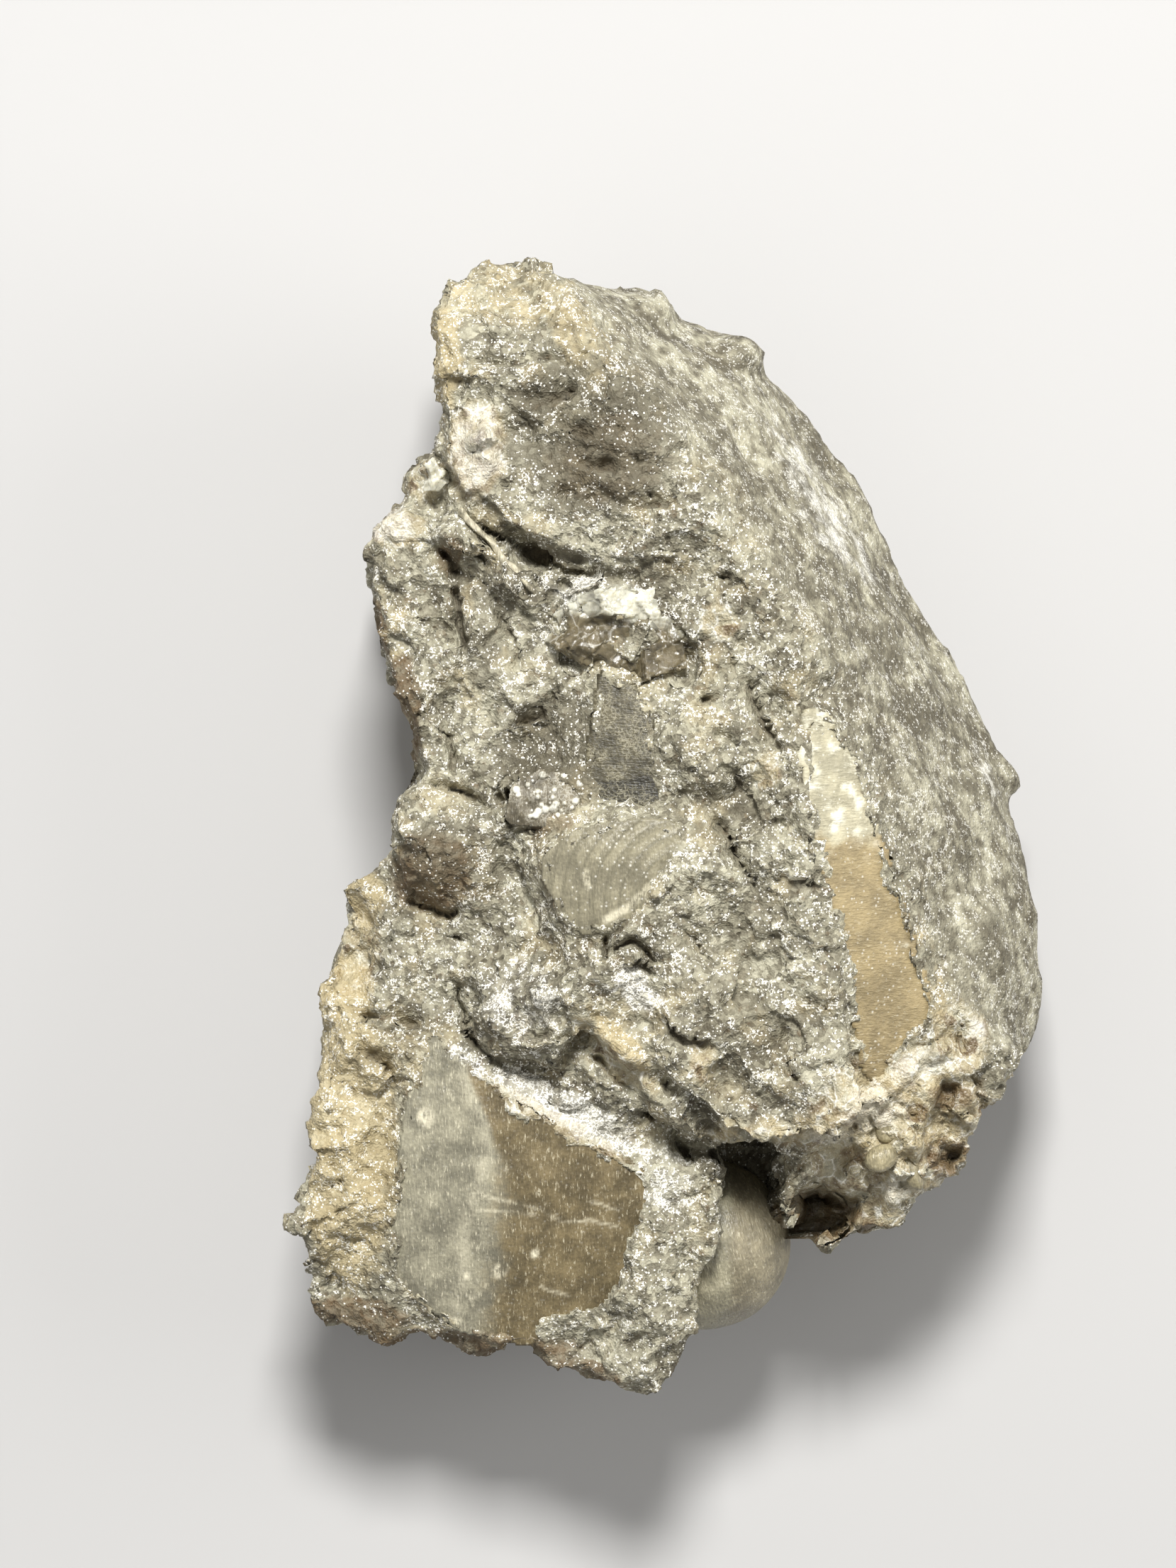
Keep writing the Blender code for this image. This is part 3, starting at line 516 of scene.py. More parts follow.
@dataclass(frozen=True)
class SugaryLimestone:
    """Grey sugary limestone: grains in a duller ground, with glints painted into its colour as white specks,
    painted shade in its hollows, and stains where it is weathered.

    A grain is given as how many of them lie along a millimetre. A pair of shares is how strongly a stain,
    painted shade or painted highlight covers the rock: what it has all over, and what its patches add.
    """

    ground: Colour = (0.235, 0.215, 0.15)
    shade: Colour = (0.09, 0.077, 0.048)
    pale: Colour = (0.44, 0.415, 0.305)
    # White of the painted glints and painted highlights, and of the white crystal patches.
    white_crystal_and_glint: Colour = (0.97, 0.945, 0.85)
    cream: Colour = (0.47, 0.38, 0.205)
    crystal: Colour = (0.4, 0.335, 0.2)
    umber: Colour = (0.115, 0.068, 0.026)
    # Colour of the painted shade in crevices and low places.
    crevice_shade: Colour = (0.06, 0.042, 0.02)
    grain: float = 4.6
    fine_grain: float = 10.0
    rim_grain: float = 6.0
    ridge_turn: float = -61.5
    crystal_share: float = 0.8
    cream_share: float = 0.6
    umber_shares: Point = (0.3, 0.55)
    bright_and_highlight_shares: Point = (0.25, 0.3)
    dark_and_shade_shares: Point = (0.4, 0.45)
    hollow_shade_share: float = 0.5
    painted_glint_share: float = 0.78
    worn_share: float = 0.85
    roughness: float = 0.74
    relief_depth: float = 0.13

    def material(self) -> bpy.types.Material:
        """Build the material.

        Returns:
            The material.
        """
        paint = Paint("sugary_limestone")
        worn = paint.attribute(Tone.WORN.value)
        mottle = paint.noise(1.7, 5.0, 0.7)
        near, own = paint.cells(self.grain)
        fine_near, fine_own = paint.cells(self.fine_grain)
        plain = (Tone.CREAM, Tone.UMBER, Tone.BRIGHT_AND_HIGHLIGHT, Tone.CRYSTAL)
        stains = {tone: paint.edge(tone.value) for tone in plain}
        stains[Tone.DARK] = paint.edge(Tone.DARK.value, 0.8, 0.45)
        stains[Tone.HOLLOW] = paint.rise(paint.attribute(Tone.HOLLOW.value), 0.1, 0.9)
        stains[Tone.WORN] = worn
        crystal = stains[Tone.CRYSTAL]
        painted_sparkle = self._painted_sparkle(paint, stains, fine_near, fine_own)
        colour = self._stained(paint, stains, mottle, self._ground(paint, worn, mottle, own))
        # Painted glints: white specks laid into the colour where light would glance off crystal facets; the
        # same grains are also made glossier.
        colour = paint.mix(colour, self.white_crystal_and_glint, painted_sparkle * self.painted_glint_share)
        rough = self.roughness - painted_sparkle * 0.4 - crystal * 0.3
        relief = near * 0.5 + mottle * 0.8 + fine_near * 0.4
        leaned = paint.tilted(own, 0.4 - worn * 0.2 - crystal * 0.2)
        normal = paint.bump(relief, self.relief_depth, 0.8, leaned)
        return paint.finish({"Base Color": colour, "Roughness": rough, "Normal": normal, "IOR": 1.5})

    def _stained(self, paint: Paint, stains: dict[Tone, Value], mottle: Value, colour: Any) -> Any:
        """Lay the crystals, the stains, the painted highlights and the painted shade over the rock's colour.

        Args:
            paint: the tree.
            stains: where each tone lies.
            mottle: noise of the size of a few grains.
            colour: the link of the bare rock's colour.

        Returns:
            The link of the stained colour.
        """
        patchy = paint.rise(mottle, 0.38, 0.62)
        crystal, cream, umber = stains[Tone.CRYSTAL], stains[Tone.CREAM], stains[Tone.UMBER]
        bright, dark, hollow = stains[Tone.BRIGHT_AND_HIGHLIGHT], stains[Tone.DARK], stains[Tone.HOLLOW]
        colour = paint.mix(colour, self._crystal(paint), crystal * self.crystal_share)
        colour = paint.mix(colour, self.cream, cream * self.cream_share)
        whole, patches = self.umber_shares
        colour = paint.mix(colour, self.umber, umber * (whole + patchy * patches))
        whole, patches = self.bright_and_highlight_shares
        # White crystal patches and painted highlights; the painted ones are strongest on the worn flank's
        # bright band.
        colour = paint.mix(colour, self.white_crystal_and_glint, bright * (whole + stains[Tone.WORN] * patches))
        whole, patches = self.dark_and_shade_shares
        # The rock's own dark patches, and painted shade under ledges, below the upper block and in the bay.
        colour = paint.mix(colour, self.shade, dark * (whole + patchy * patches))
        # Painted shade: the deeper a place, the more of the crevice colour it takes.
        return paint.mix(colour, self.crevice_shade, hollow * self.hollow_shade_share)

    def _painted_sparkle(self, paint: Paint, stains: dict[Tone, Value], near: Value, own: Any) -> Value:
        """Where glints are painted into the rock's colour: single fine grains, and the bright rims of
        others.

        Args:
            paint: the tree.
            stains: where each tone lies.
            near: distance to the nearest fine grain.
            own: that grain's own colour.

        Returns:
            The strength of the painted glints.
        """
        clusters = paint.noise(1.1, 3.0, 0.6)
        fewer = stains[Tone.HOLLOW] * 0.3 + stains[Tone.UMBER] * 0.08
        fewer = fewer + stains[Tone.DARK] * 0.02 - stains[Tone.BRIGHT_AND_HIGHLIGHT] * 0.2
        chance = paint.channel(own, 1) + (clusters - 0.5) * 0.95 - fewer
        dots = paint.rise(chance, 0.76, 0.88) * paint.rise(near, 0.55, 0.25)
        rims = paint.rise(paint.seams(self.rim_grain, paint.bent(0.12, 5.0)), 0.15, 0.04)
        rims = rims * paint.rise(paint.noise(3.2, 3.0, 0.6) + clusters * 0.45 - fewer, 0.75, 0.87)
        dulled = (1.0 - stains[Tone.WORN] * 0.4) * (1.0 - stains[Tone.CRYSTAL] * 0.75)
        return paint.rise(dots + rims, 0.0, 1.0) * dulled

    def _crystal(self, paint: Paint) -> Any:
        """Colour of the coarsely crystalline places: tan facets with painted highlights along their edges.

        Args:
            paint: the tree.

        Returns:
            The link of the colour.
        """
        place = paint.bent(0.3, 1.2)
        own = paint.cells(1.5, place)[1]
        edges = paint.rise(paint.seams(1.5, place), 0.09, 0.0)
        veils = paint.noise(1.6, 6.0, 0.65)
        tone = paint.channel(own, 0) * 0.35 + veils * 1.2 - 0.25
        colour = paint.ramp(tone, [(0.25, self.umber), (0.5, self.crystal), (0.78, self.pale)])
        # Painted highlights along the facets' edges.
        return paint.mix(colour, self.white_crystal_and_glint, edges * paint.rise(veils, 0.45, 0.6) * 0.8)

    def _ground(self, paint: Paint, worn: Value, mottle: Value, own: Any) -> Any:
        """Colour of the rock itself.

        Args:
            paint: the tree.
            worn: how far the surface is weathered.
            mottle: noise of the size of a few grains.
            own: each grain's own colour.

        Returns:
            The colour's link.
        """
        broad = paint.noise(0.3, 3.0, 0.55)
        tint = broad * 0.8 + mottle * 0.8 + (paint.channel(own, 0) - 0.5) * 0.3 - 0.31
        colour = paint.ramp(tint, [(0.26, self.shade), (0.5, self.ground), (0.74, self.pale)])
        warm = paint.rise(paint.noise(0.55, 4.0, 0.6), 0.5, 0.66)
        colour = paint.mix(colour, self.cream, warm * 0.3)
        specks = paint.rise(paint.noise(2.4, 3.0, 0.6), 0.58, 0.72)
        colour = paint.mix(colour, self.umber, specks * 0.5)
        drawn = paint.noise(1.0, 2.0, 0.5, paint.stretched((0.62, 0.48, 0.6), self.ridge_turn))
        spots = paint.noise(0.45, 3.0, 0.5, paint.stretched((1.4, 0.9, 1.0), self.ridge_turn))
        weathered = drawn * 1.1 + spots + mottle * 0.8 - 1.02
        weathered = paint.ramp(weathered, [(0.27, self.shade), (0.49, self.ground), (0.72, self.pale)])
        return paint.mix(colour, weathered, worn * self.worn_share)


@dataclass(frozen=True)
class SmoothShell:
    """Smooth fossil shell: a soft sheen over fine streaks, with glints painted in short streaks and on
    single grains, and the tones stored on its points.
    """

    name: str
    first: Colour
    second: Colour
    vein: Colour = (0.74, 0.68, 0.5)
    streak: float = 0.3
    streak_sizes: tuple[float, float, float] = (0.07, 0.36, 0.3)
    streak_turn: float = 0.0
    roughness: float = 0.42
    grain: float = 0.12
    contrast: float = 0.7
    net: float = 0.0

    def material(self) -> bpy.types.Material:
        """Build the material.

        Returns:
            The material.
        """
        paint = Paint(self.name)
        lines = paint.noise(1.0, 3.0, 0.65, paint.stretched(self.streak_sizes, self.streak_turn))
        cloud = paint.noise(0.9, 6.0, 0.65)
        near, own = paint.cells(7.0)
        colour = paint.mix(self.first, self.second, paint.edge("second", 0.9, 0.35))
        light = paint.rise(cloud + (lines - 0.5) * 0.4, 0.3, 0.7)
        colour = paint.scaled(colour, (1.0 - 0.5 * self.contrast) + light * self.contrast)
        vein = paint.attribute("vein") * paint.rise(cloud + lines * 0.5, 0.55, 0.85)
        colour = paint.mix(colour, self.vein, vein)
        # Painted glints: short pale streaks standing in for light off the shell's fine grain.
        painted_streak_glints = paint.rise(lines, 0.55, 0.68) * paint.rise(paint.channel(own, 0), 0.2, 0.8)
        colour = paint.mix(colour, self.vein, painted_streak_glints * self.streak)
        if self.net:
            mesh = paint.rise(paint.seams(5.5, paint.bent(0.14, 5.0)), 0.16, 0.04)
            colour = paint.mix(colour, self.vein, mesh * paint.rise(cloud, 0.42, 0.56) * self.net)
        # Painted glints on single grains, as white specks.
        grains = paint.rise(paint.channel(own, 1), 0.8, 0.92) * paint.rise(near, 0.45, 0.15)
        colour = paint.mix(colour, (0.95, 0.92, 0.82), grains * self.grain)
        rough = self.roughness + (cloud - 0.5) * 0.3
        normal = paint.bump(lines * 0.7 + cloud * 0.5 + near * 0.3, 0.08, 0.8)
        return paint.finish({"Base Color": colour, "Roughness": rough, "Normal": normal, "IOR": 1.5})


@dataclass(frozen=True)
class CloudyCalcite:
    """Cloudy calcite: white where it is fractured, smoky brown where it is clearer."""

    white: Colour = (0.5, 0.48, 0.38)
    smoky: Colour = (0.125, 0.103, 0.06)
    flaw: Colour = (0.85, 0.83, 0.75)
    depth: float = 0.6

    def material(self) -> bpy.types.Material:
        """Build the material.

        Returns:
            The material.
        """
        paint = Paint("cloudy_calcite")
        veils = paint.noise(1.4, 5.0, 0.65)
        own = paint.cells(2.0, paint.bent(0.15, 2.0))[1]
        colour = paint.mix(self.white, self.smoky, paint.edge("second", 0.8, 0.3))
        facet = paint.channel(own, 0) * 0.5 + paint.rise(veils, 0.3, 0.65) * 0.7
        colour = paint.scaled(colour, 0.4 + facet)
        cracks = paint.rise(paint.seams(1.0, paint.bent(0.5, 0.9)), 0.06, 0.0)
        colour = paint.mix(colour, self.flaw, cracks * paint.rise(veils, 0.45, 0.6) * 0.4)
        normal = paint.bump(veils, 0.12, 0.8, paint.tilted(own, 0.55))
        look = {"Base Color": colour, "Roughness": 0.16 + veils * 0.2, "Normal": normal, "IOR": 1.58}
        haze = {"Subsurface Weight": 0.5, "Subsurface Radius": (1.0, 0.9, 0.7)}
        return paint.finish({**look, **haze, "Subsurface Scale": self.depth * MM})


@dataclass(frozen=True)
class PaleFloor:
    """The plain pale floor."""

    colour: Colour = (0.45, 0.442, 0.43)

    def material(self) -> bpy.types.Material:
        """Build the material."""
        paint = Paint("pale_floor")
        return paint.finish({"Base Color": self.colour, "Roughness": 0.9})


# Modelling by hand


def deselect() -> None:
    """Leave no object selected."""
    for other in bpy.context.view_layer.objects:
        other.select_set(False)


def only(obj: bpy.types.Object) -> None:
    """Make one object the selected and active one.

    Args:
        obj: the object.
    """
    deselect()
    obj.select_set(True)
    bpy.context.view_layer.objects.active = obj


def apply_all(obj: bpy.types.Object) -> None:
    """Apply an object's modifiers in order.

    Args:
        obj: the object.
    """
    only(obj)
    for modifier in list(obj.modifiers):
        bpy.ops.object.modifier_apply(modifier=modifier.name)


def linked(name: str, data: Any) -> bpy.types.Object:
    """A new object of the scene with this mesh, light or camera.

    Args:
        name: the object's name.
        data: its mesh, light or camera.

    Returns:
        The object.
    """
    obj = bpy.data.objects.new(name, data)
    bpy.context.scene.collection.objects.link(obj)
    return obj


def name_piece(obj: bpy.types.Object, name: str) -> None:
    """Give an object and its mesh one name."""
    obj.name = name
    obj.data.name = name


def shape_ball(ball: bpy.types.Object, centre: Place, sizes: Place, turn: float) -> None:
    """Draw a ball of one millimetre's radius out to an egg.

    Args:
        ball: the ball, at the origin.
        centre: where its middle goes.
        sizes: its half sizes.
        turn: its turn about the vertical in degrees.
    """
    place = Matrix.Translation(Vector(centre) * MM) @ Matrix.Rotation(math.radians(turn), 4, "Z")
    ball.data.transform(place @ Matrix.Diagonal((*sizes, 1.0)))


def points_of(obj: bpy.types.Object) -> np.ndarray:
    """An object's points in millimetres, one row each.

    Args:
        obj: the object.

    Returns:
        Its points.
    """
    flat = np.empty(len(obj.data.vertices) * 3)
    obj.data.vertices.foreach_get("co", flat)
    return flat.reshape(-1, 3) / MM


def normals_of(obj: bpy.types.Object) -> np.ndarray:
    """The normals at an object's points, one row each.

    Args:
        obj: the object.

    Returns:
        Its normals.
    """
    flat = np.empty(len(obj.data.vertices) * 3)
    obj.data.vertices.foreach_get("normal", flat)
    return flat.reshape(-1, 3)


def set_points(obj: bpy.types.Object, points: np.ndarray) -> None:
    """Move an object's points to places in millimetres."""
    obj.data.vertices.foreach_set("co", (points * MM).ravel())
    obj.data.update()


def store(obj: bpy.types.Object, name: str, values: np.ndarray) -> None:
    """Store a value between 0 and 1 on each of an object's points."""
    layer = obj.data.attributes.new(name, "FLOAT", "POINT")
    layer.data.foreach_set("value", np.clip(values, 0.0, 1.0).astype(np.float32))


def merged_copy(node: str, name: str) -> bpy.types.Object:
    """Copy a solid of the frame and merge its loose triangles.

    Args:
        node: the solid's name.
        name: the copy's name.

    Returns:
        The copy, with whole edges.
    """
    source = frame["nodes"][node]
    copy = linked(name, source.data.copy())
    copy.data.materials.clear()
    only(copy)
    bpy.ops.object.mode_set(mode="EDIT")
    bpy.ops.mesh.select_all(action="SELECT")
    bpy.ops.mesh.remove_doubles(threshold=MERGE_DISTANCE)
    bpy.ops.object.mode_set(mode="OBJECT")
    return copy


class Piece:
    """A piece of the visual model: it builds its mesh, is dressed in its finish and takes its place."""

    slot: str
    node: str = ""
    finish: Any

    @property
    def nodes(self) -> tuple[str, ...]:
        """The solids that the piece stands for."""
        return (self.node,) if self.node else ()

    def build(self) -> bpy.types.Object:
        """Model the piece and return it."""
        raise NotImplementedError

    def dress(self, obj: bpy.types.Object) -> None:
        """Shade the piece smoothly and give it its finish.

        Args:
            obj: the built piece.
        """
        only(obj)
        bpy.ops.object.shade_smooth()
        obj.data.materials.append(self.finish.material())

    def place(self) -> None:
        """Build and dress the piece, fix it to the chunk's body, hide the solids it stands for, and report
        it.
        """
        obj = self.build()
        self.dress(obj)
        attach(obj, BODY)
        if self.nodes:
            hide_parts(*self.nodes)
        count = sum(len(face.vertices) - 2 for face in obj.data.polygons)
        LOG.info("%s: %d triangles", obj.name, count)


@dataclass(frozen=True)
class Bed:
    """The surface that a shell piece lies in: its outline, and a height fitted to its solid's top."""

    node: str
    outline: tuple[Point, ...]
    terms: tuple[float, ...] = ()
    sink: float = 0.2

    @staticmethod
    def powers(x: np.ndarray, y: np.ndarray) -> np.ndarray:
        """The terms of a curved sheet at each point."""
        return np.stack([np.ones_like(x), x, y, x * x, x * y, y * y], axis=1)

    def fitted(self) -> "Bed":
        """This bed with its height fitted to the top of its solid.

        Returns:
            A copy of this bed with the terms of its height.
        """
        solid = frame["nodes"][self.node]
        places = []
        for face in solid.data.polygons:
            if face.normal.z > 0.6:
                places += [solid.data.vertices[i].co / MM for i in face.vertices]
        top = np.array(places)
        terms = np.linalg.lstsq(self.powers(top[:, 0], top[:, 1]), top[:, 2] - self.sink, rcond=None)[0]
        return replace(self, terms=tuple(terms))

    def height(self, points: np.ndarray) -> np.ndarray:
        """Height of the bed at each point."""
        return self.powers(points[:, 0], points[:, 1]) @ np.array(self.terms)


# The shell pieces' outlines, then the strokes and stains of the rock, all seen from above

PLATE = (
    (-9.5, -8.0), (-10.1, -9.5), (-10.35, -10.6), (-10.6, -12.2), (-10.8, -13.5), (-11.0, -15.5),
    (-11.0, -17.2), (-10.9, -17.9), (-10.2, -18.3), (-9.3, -18.9), (-8.5, -19.5), (-7.0, -19.9),
    (-5.8, -20.0), (-5.5, -19.3), (-4.2, -19.0), (-2.9, -18.5), (-2.1, -17.2), (-2.0, -16.2), (-1.5, -15.2),
    (-1.25, -14.3), (-1.35, -13.6), (-2.0, -13.1), (-3.2, -12.7), (-3.9, -12.2), (-4.8, -11.8),
    (-5.3, -11.4), (-6.0, -11.3), (-6.6, -10.8), (-7.3, -10.2), (-8.2, -9.5), (-8.9, -9.0),
)
BUFF = (
    (5.15, 4.5), (5.0, 2.9), (5.2, 1.5), (5.45, 0.2), (5.8, -1.3), (6.2, -3.0), (6.7, -4.5), (6.95, -6.5),
    (7.2, -8.0), (7.45, -9.3), (7.9, -9.6), (8.3, -8.9), (9.0, -7.9), (9.85, -7.2), (9.75, -6.4),
    (9.2, -5.0), (8.9, -3.8), (8.5, -2.7), (7.85, -1.8), (8.05, -1.2), (7.6, -0.2), (7.2, 1.0),
    (6.7, 2.8), (5.8, 4.3),
)
RIBBED = (
    (-5.0, -1.1), (-4.0, -0.25), (-3.0, 0.05), (-1.5, 0.2), (-0.5, 0.2), (0.1, -0.2), (-0.7, -1.6),
    (-1.5, -2.9), (-2.2, -3.4), (-3.0, -3.6), (-3.6, -3.7), (-4.3, -3.3), (-4.6, -2.5), (-5.0, -1.8),
)
GREY_STRIP = (
    (-2.9, 6.0), (-1.9, 5.5), (-1.3, 4.5), (-1.1, 3.0), (-0.95, 1.2), (-2.9, 1.2), (-3.3, 2.0),
    (-3.3, 3.5), (-3.1, 4.5),
)
BEADED = ((-6.4, 0.6), (-6.2, 1.6), (-5.3, 2.1), (-4.3, 1.9), (-3.6, 1.4), (-4.1, 0.8), (-5.2, 0.5))
BEDS = {
    "plate": Bed("shell_plate", PLATE),
    "buff": Bed("buff_shell", BUFF),
    "ribbed": Bed("ribbed_shell", RIBBED),
    "grey": Bed("grey_shell", GREY_STRIP, sink=0.1),
    "beaded": Bed("beaded_shell", BEADED, sink=-0.12),
}


class Relief(Enum):
    """How a stroke shapes the rock."""

    CRACK = "crack"
    LEDGE = "ledge"
    PIT = "pit"
    KNOB = "knob"


@dataclass(frozen=True)
class Stroke:
    """One stroke of the chisel on the broken face.

    A crack is a slit along its path. A ledge stands high on the left of its path's direction and drops
    on its right. A pit and a knob are rounded along their path.
    """

    kind: Relief
    width: float
    height: float
    path: tuple[Point, ...]
    lip: float = 0.35
    fall: float = 1.2
    fall_reach: float = 2.4
    pit_wall: float = 0.75

    def shift(self, points: np.ndarray) -> np.ndarray:
        """How far this stroke raises each point, in millimetres.

        Args:
            points: x and y of each point, one row each.

        Returns:
            The rise of each point, negative downwards.
        """
        away, along, side = path_distance(points, self.path)
        taper = np.clip(np.sin(math.pi * np.clip(along, 0.03, 0.97)) * 2.2, 0.0, 1.0)
        near = np.clip(1.0 - away / self.width, 0.0, 1.0)
        if self.kind is Relief.CRACK:
            return -self.height * np.sqrt(near) * taper
        if self.kind is Relief.LEDGE:
            raised = self.lip * self.height * near
            fallen = -self.fall * self.height * smooth_step(away, self.fall_reach * self.width, 0.0)
            return np.where(side > 0, raised, fallen) * taper
        if self.kind is Relief.PIT:
            return -self.height * smooth_step(near, 0.0, self.pit_wall) * taper
        return self.height * np.sqrt(np.clip(1.0 - (1.0 - near) ** 2, 0.0, 1.0)) * (near > 0) * taper


@dataclass(frozen=True)
class Spot:
    """An oval patch of a tone on the rock, seen from above."""

    tone: Tone
    centre: Point
    sizes: Point
    turn: float = 0.0
    strength: float = 1.0
    full_to: float = 0.55
    none_from: float = 1.35

    def amount(self, points: np.ndarray) -> np.ndarray:
        """How much of the tone each point has.

        Args:
            points: x and y of each point, one row each.

        Returns:
            The amount at each point.
        """
        angle = math.radians(self.turn)
        rel = points - self.centre
        x = rel[:, 0] * math.cos(angle) + rel[:, 1] * math.sin(angle)
        y = rel[:, 1] * math.cos(angle) - rel[:, 0] * math.sin(angle)
        away = np.hypot(x / self.sizes[0], y / self.sizes[1])
        return self.strength * smooth_step(away, self.none_from, self.full_to)


CRACK, LEDGE, PIT, KNOB = Relief.CRACK, Relief.LEDGE, Relief.PIT, Relief.KNOB

